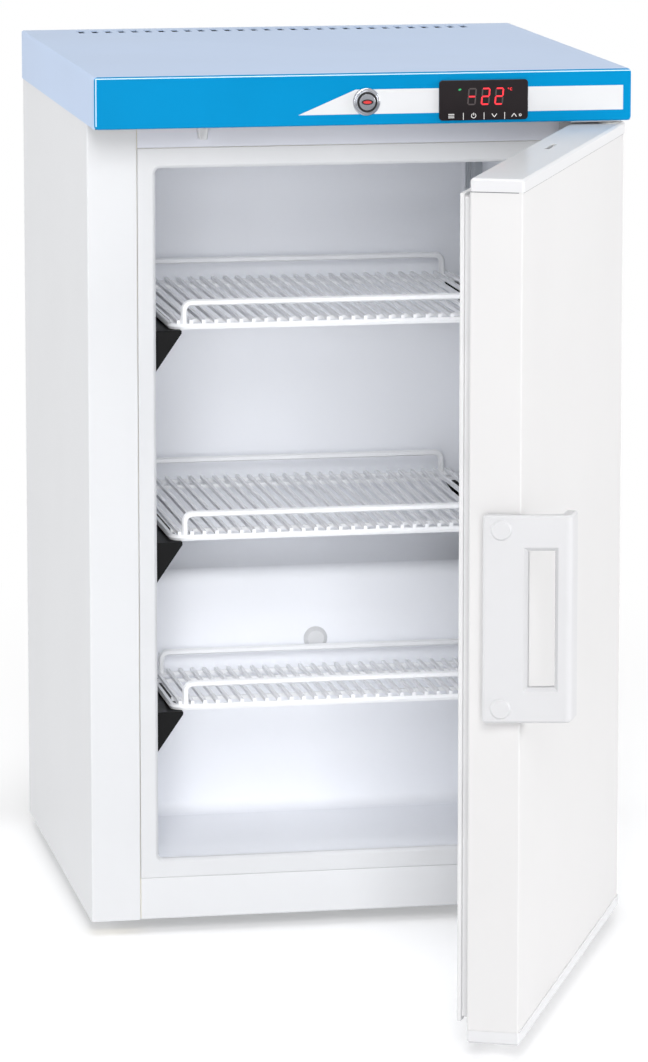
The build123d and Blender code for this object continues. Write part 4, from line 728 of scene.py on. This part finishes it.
@dataclass
class LockFace:
    """Painted shade in the gap round the lock's plug and round the red shutter in its keyway, in
    millimetres.
    """

    gap_inner: float = 6.9
    gap_outer: float = 8.5
    shade_half: tuple[float, float] = (4.9, 2.3)
    shutter_half: tuple[float, float] = (3.5, 1.25)
    rise: float = 0.08
    facets: int = 40

    def _front(self, node: str) -> Vector:
        """Gives the middle of a node's front face, in metres."""
        low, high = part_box(node)
        return Vector(((low[0] + high[0]) / 2, low[1], (low[2] + high[2]) / 2))

    def _disc(self, centre: Vector, half: tuple[float, float], rise: float) -> bmesh.types.BMesh:
        """Makes a thin oval disc that stands on a face turned to the front.

        Args:
            centre: The middle of its back, in metres.
            half: Half its width and half its height.
            rise: Its thickness.

        Returns:
            The mesh.
        """
        bm = bmesh.new()
        bmesh.ops.create_circle(bm, segments=self.facets, radius=1.0, cap_ends=True)
        bmesh.ops.scale(bm, vec=(half[0] * MM, half[1] * MM, 1.0), verts=bm.verts)
        grown = bmesh.ops.extrude_face_region(bm, geom=bm.faces[:])["geom"]
        bmesh.ops.translate(bm, vec=(0, 0, rise * MM),
                            verts=[g for g in grown if isinstance(g, bmesh.types.BMVert)])
        bmesh.ops.rotate(bm, matrix=Matrix.Rotation(pi / 2, 3, "X"), verts=bm.verts)
        bmesh.ops.translate(bm, vec=centre, verts=bm.verts)
        bmesh.ops.recalc_face_normals(bm, faces=bm.faces)
        return bm

    def _gap(self, centre: Vector) -> bmesh.types.BMesh:
        """Makes the flat ring of painted shade in the gap round the plug.

        Args:
            centre: The middle of its back, in metres.

        Returns:
            The mesh.
        """
        bm = bmesh.new()
        inner, outer = self.gap_inner * MM, self.gap_outer * MM
        corners = [(inner, 0), (outer, 0), (outer, -self.rise * MM), (inner, -self.rise * MM)]
        verts = [bm.verts.new(centre + Vector((x, y, 0))) for x, y in corners]
        edges = [bm.edges.new((verts[i], verts[(i + 1) % 4])) for i in range(4)]
        bmesh.ops.spin(bm, geom=verts + edges, cent=centre, axis=(0, 1, 0), angle=2 * pi,
                       steps=self.facets, use_merge=True)
        bmesh.ops.recalc_face_normals(bm, faces=bm.faces)
        return bm

    def build(self, fitter: Fitter) -> None:
        """Adds the gap's painted shade to the cabinet, and the shutter and its painted shade to
        the plug.
        """
        fitter.place("plug_gap_shade", self._gap(self._front("lock_barrel")), Look.KEYWAY_SHADE, "cabinet",
                     fitter.slots["lock_barrel"])
        front, slot = self._front("lock_plug"), fitter.slots["lock_plug"]
        fitter.place("keyway_shade", self._disc(front, self.shade_half, self.rise),
                     Look.KEYWAY_SHADE, "lock", slot)
        fitter.place("key_shutter", self._disc(front, self.shutter_half, 2 * self.rise),
                     Look.RED_SHUTTER, "lock", slot)


@dataclass(frozen=True)
class Lamp:
    """One large soft lamp: where it stands, the point that it faces, the length of its side in
    metres and its power in watts."""

    name: str
    place: Point
    aim: Point
    size: float
    power: float

    def build(self) -> None:
        """Adds the lamp to the scene."""
        light = bpy.data.lights.new(self.name, "AREA")
        light.size = self.size
        light.energy = self.power
        lamp = bpy.data.objects.new(self.name, light)
        bpy.context.scene.collection.objects.link(lamp)
        lamp.location = self.place
        way = Vector(self.aim) - Vector(self.place)
        lamp.rotation_euler = way.to_track_quat("-Z", "Y").to_euler()


@dataclass
class Stage:
    """Pale floor, soft lamps, white surround and the camera."""

    lamps: tuple[Lamp, ...] = (
        Lamp("front_low", (-1.0, -6.0, 0.6), (0.0, 0.0, 0.4), 2.2, 128),
        Lamp("front_high", (-0.9, -4.6, 2.8), (0.0, 0.0, 0.3), 2.0, 118),
        Lamp("above", (-0.3, -0.4, 5.0), (0.0, 0.0, 0.4), 2.6, 62),
        Lamp("right", (5.4, -1.6, 1.6), (0.1, -0.3, 0.4), 2.6, 204),
        Lamp("left", (-4.6, 0.8, 1.6), (0.0, 0.1, 0.4), 2.6, 90),
    )
    surround_level: float = 0.22
    surround_tint: Colour = (0.97, 0.98, 1.0)
    camera_place: Point = (-0.81916, -4.25556, 1.12978)
    yaw: float = 0.18367
    pitch: float = -0.15424
    focal: float = 5243.63
    sensor: float = 36.0
    clip_end: float = 100.0
    picture_height: float = 1062.0
    optical_row: float = 400.0
    floor_half: float = 30.0
    floor_tint: Colour = (0.80, 0.80, 0.805)
    floor_roughness: float = 0.55
    floor_specular: float = 0.2
    floor_lift: float = 0.32
    fade_from: float = 0.55
    fade_to: float = 1.6

    def build(self) -> None:
        """Adds the world, the floor, the lamps and the camera."""
        self._world()
        self._floor()
        for lamp in self.lamps:
            lamp.build()
        self._camera()
        bpy.context.scene.view_settings.view_transform = "Standard"

    def _sum_node(self, tree: bpy.types.NodeTree, operation: str) -> bpy.types.Node:
        """Adds a math node that does one operation."""
        node = tree.nodes.new("ShaderNodeMath")
        node.operation = operation
        return node

    def _world(self) -> None:
        """Makes a white surround that lights the object at a plain level."""
        world = bpy.data.worlds.new("surround")
        bpy.context.scene.world = world
        world.use_nodes = True
        tree = world.node_tree
        tree.nodes.clear()
        out = tree.nodes.new("ShaderNodeOutputWorld")
        seen = tree.nodes.new("ShaderNodeBackground")
        seen.inputs["Color"].default_value = (1, 1, 1, 1)
        lit = tree.nodes.new("ShaderNodeBackground")
        lit.inputs["Strength"].default_value = self.surround_level
        lit.inputs["Color"].default_value = (*self.surround_tint, 1)
        rays = tree.nodes.new("ShaderNodeLightPath")
        most = self._sum_node(tree, "MAXIMUM")
        glossy = self._sum_node(tree, "MAXIMUM")
        mix = tree.nodes.new("ShaderNodeMixShader")
        link = tree.links.new
        link(rays.outputs["Is Glossy Ray"], glossy.inputs[0])
        link(rays.outputs["Is Transmission Ray"], glossy.inputs[1])
        link(rays.outputs["Is Camera Ray"], most.inputs[0])
        link(glossy.outputs[0], most.inputs[1])
        link(most.outputs[0], mix.inputs["Fac"])
        link(lit.outputs[0], mix.inputs[1])
        link(seen.outputs[0], mix.inputs[2])
        link(mix.outputs[0], out.inputs["Surface"])

    def _floor(self) -> None:
        """Adds a pale floor that keeps the object's shadow and fades to white far away."""
        bm = bmesh.new()
        bmesh.ops.create_grid(bm, x_segments=1, y_segments=1, size=self.floor_half)
        mesh = bpy.data.meshes.new("floor")
        bm.to_mesh(mesh)
        bm.free()
        floor = bpy.data.objects.new("floor", mesh)
        bpy.context.scene.collection.objects.link(floor)
        paint = bpy.data.materials.new("pale_floor")
        paint.use_nodes = True
        tree = paint.node_tree
        shader = tree.nodes["Principled BSDF"]
        shader.inputs["Base Color"].default_value = (*self.floor_tint, 1)
        shader.inputs["Roughness"].default_value = self.floor_roughness
        shader.inputs["Specular IOR Level"].default_value = self.floor_specular
        place = tree.nodes.new("ShaderNodeTexCoord")
        span = tree.nodes.new("ShaderNodeVectorMath")
        span.operation = "LENGTH"
        fade = tree.nodes.new("ShaderNodeMapRange")
        fade.inputs["From Min"].default_value = self.fade_from
        fade.inputs["From Max"].default_value = self.fade_to
        fade.interpolation_type = "SMOOTHSTEP"
        rays = tree.nodes.new("ShaderNodeLightPath")
        most = self._sum_node(tree, "MAXIMUM")
        share = self._sum_node(tree, "MULTIPLY")
        white = tree.nodes.new("ShaderNodeEmission")
        lift = tree.nodes.new("ShaderNodeEmission")
        level = self._sum_node(tree, "MULTIPLY")
        level.inputs[1].default_value = self.floor_lift
        lifted = tree.nodes.new("ShaderNodeAddShader")
        mix = tree.nodes.new("ShaderNodeMixShader")
        link = tree.links.new
        link(most.outputs[0], level.inputs[0])
        link(level.outputs[0], lift.inputs["Strength"])
        link(shader.outputs[0], lifted.inputs[0])
        link(lift.outputs[0], lifted.inputs[1])
        link(place.outputs["Object"], span.inputs[0])
        link(span.outputs["Value"], fade.inputs["Value"])
        link(rays.outputs["Is Camera Ray"], most.inputs[0])
        link(rays.outputs["Is Glossy Ray"], most.inputs[1])
        link(fade.outputs["Result"], share.inputs[0])
        link(most.outputs[0], share.inputs[1])
        link(share.outputs[0], mix.inputs["Fac"])
        link(lifted.outputs[0], mix.inputs[1])
        link(white.outputs[0], mix.inputs[2])
        link(mix.outputs[0], tree.nodes["Material Output"].inputs["Surface"])
        floor.data.materials.append(paint)

    def _camera(self) -> None:
        """Adds the camera at the photograph's viewpoint."""
        lens = bpy.data.cameras.new("camera")
        lens.sensor_width = self.sensor
        lens.lens = self.sensor * self.focal / self.picture_height
        lens.shift_y = (self.optical_row - self.picture_height / 2) / self.picture_height
        lens.clip_end = self.clip_end
        camera = bpy.data.objects.new("camera", lens)
        bpy.context.scene.collection.objects.link(camera)
        camera.location = self.camera_place
        camera.rotation_euler = (pi / 2 + self.pitch, 0.0, -self.yaw)
        bpy.context.scene.camera = camera


def main() -> None:
    """Builds the freezer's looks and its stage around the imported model."""
    logging.basicConfig(level=logging.INFO, format="%(name)s: %(message)s")
    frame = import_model()
    fitter = Fitter(frame)
    Carcass().build(fitter)
    Controller().build(fitter)
    EdgeLines().build(fitter)
    LockFace().build(fitter)
    Stage().build()


if __name__ == "__main__":
    main()
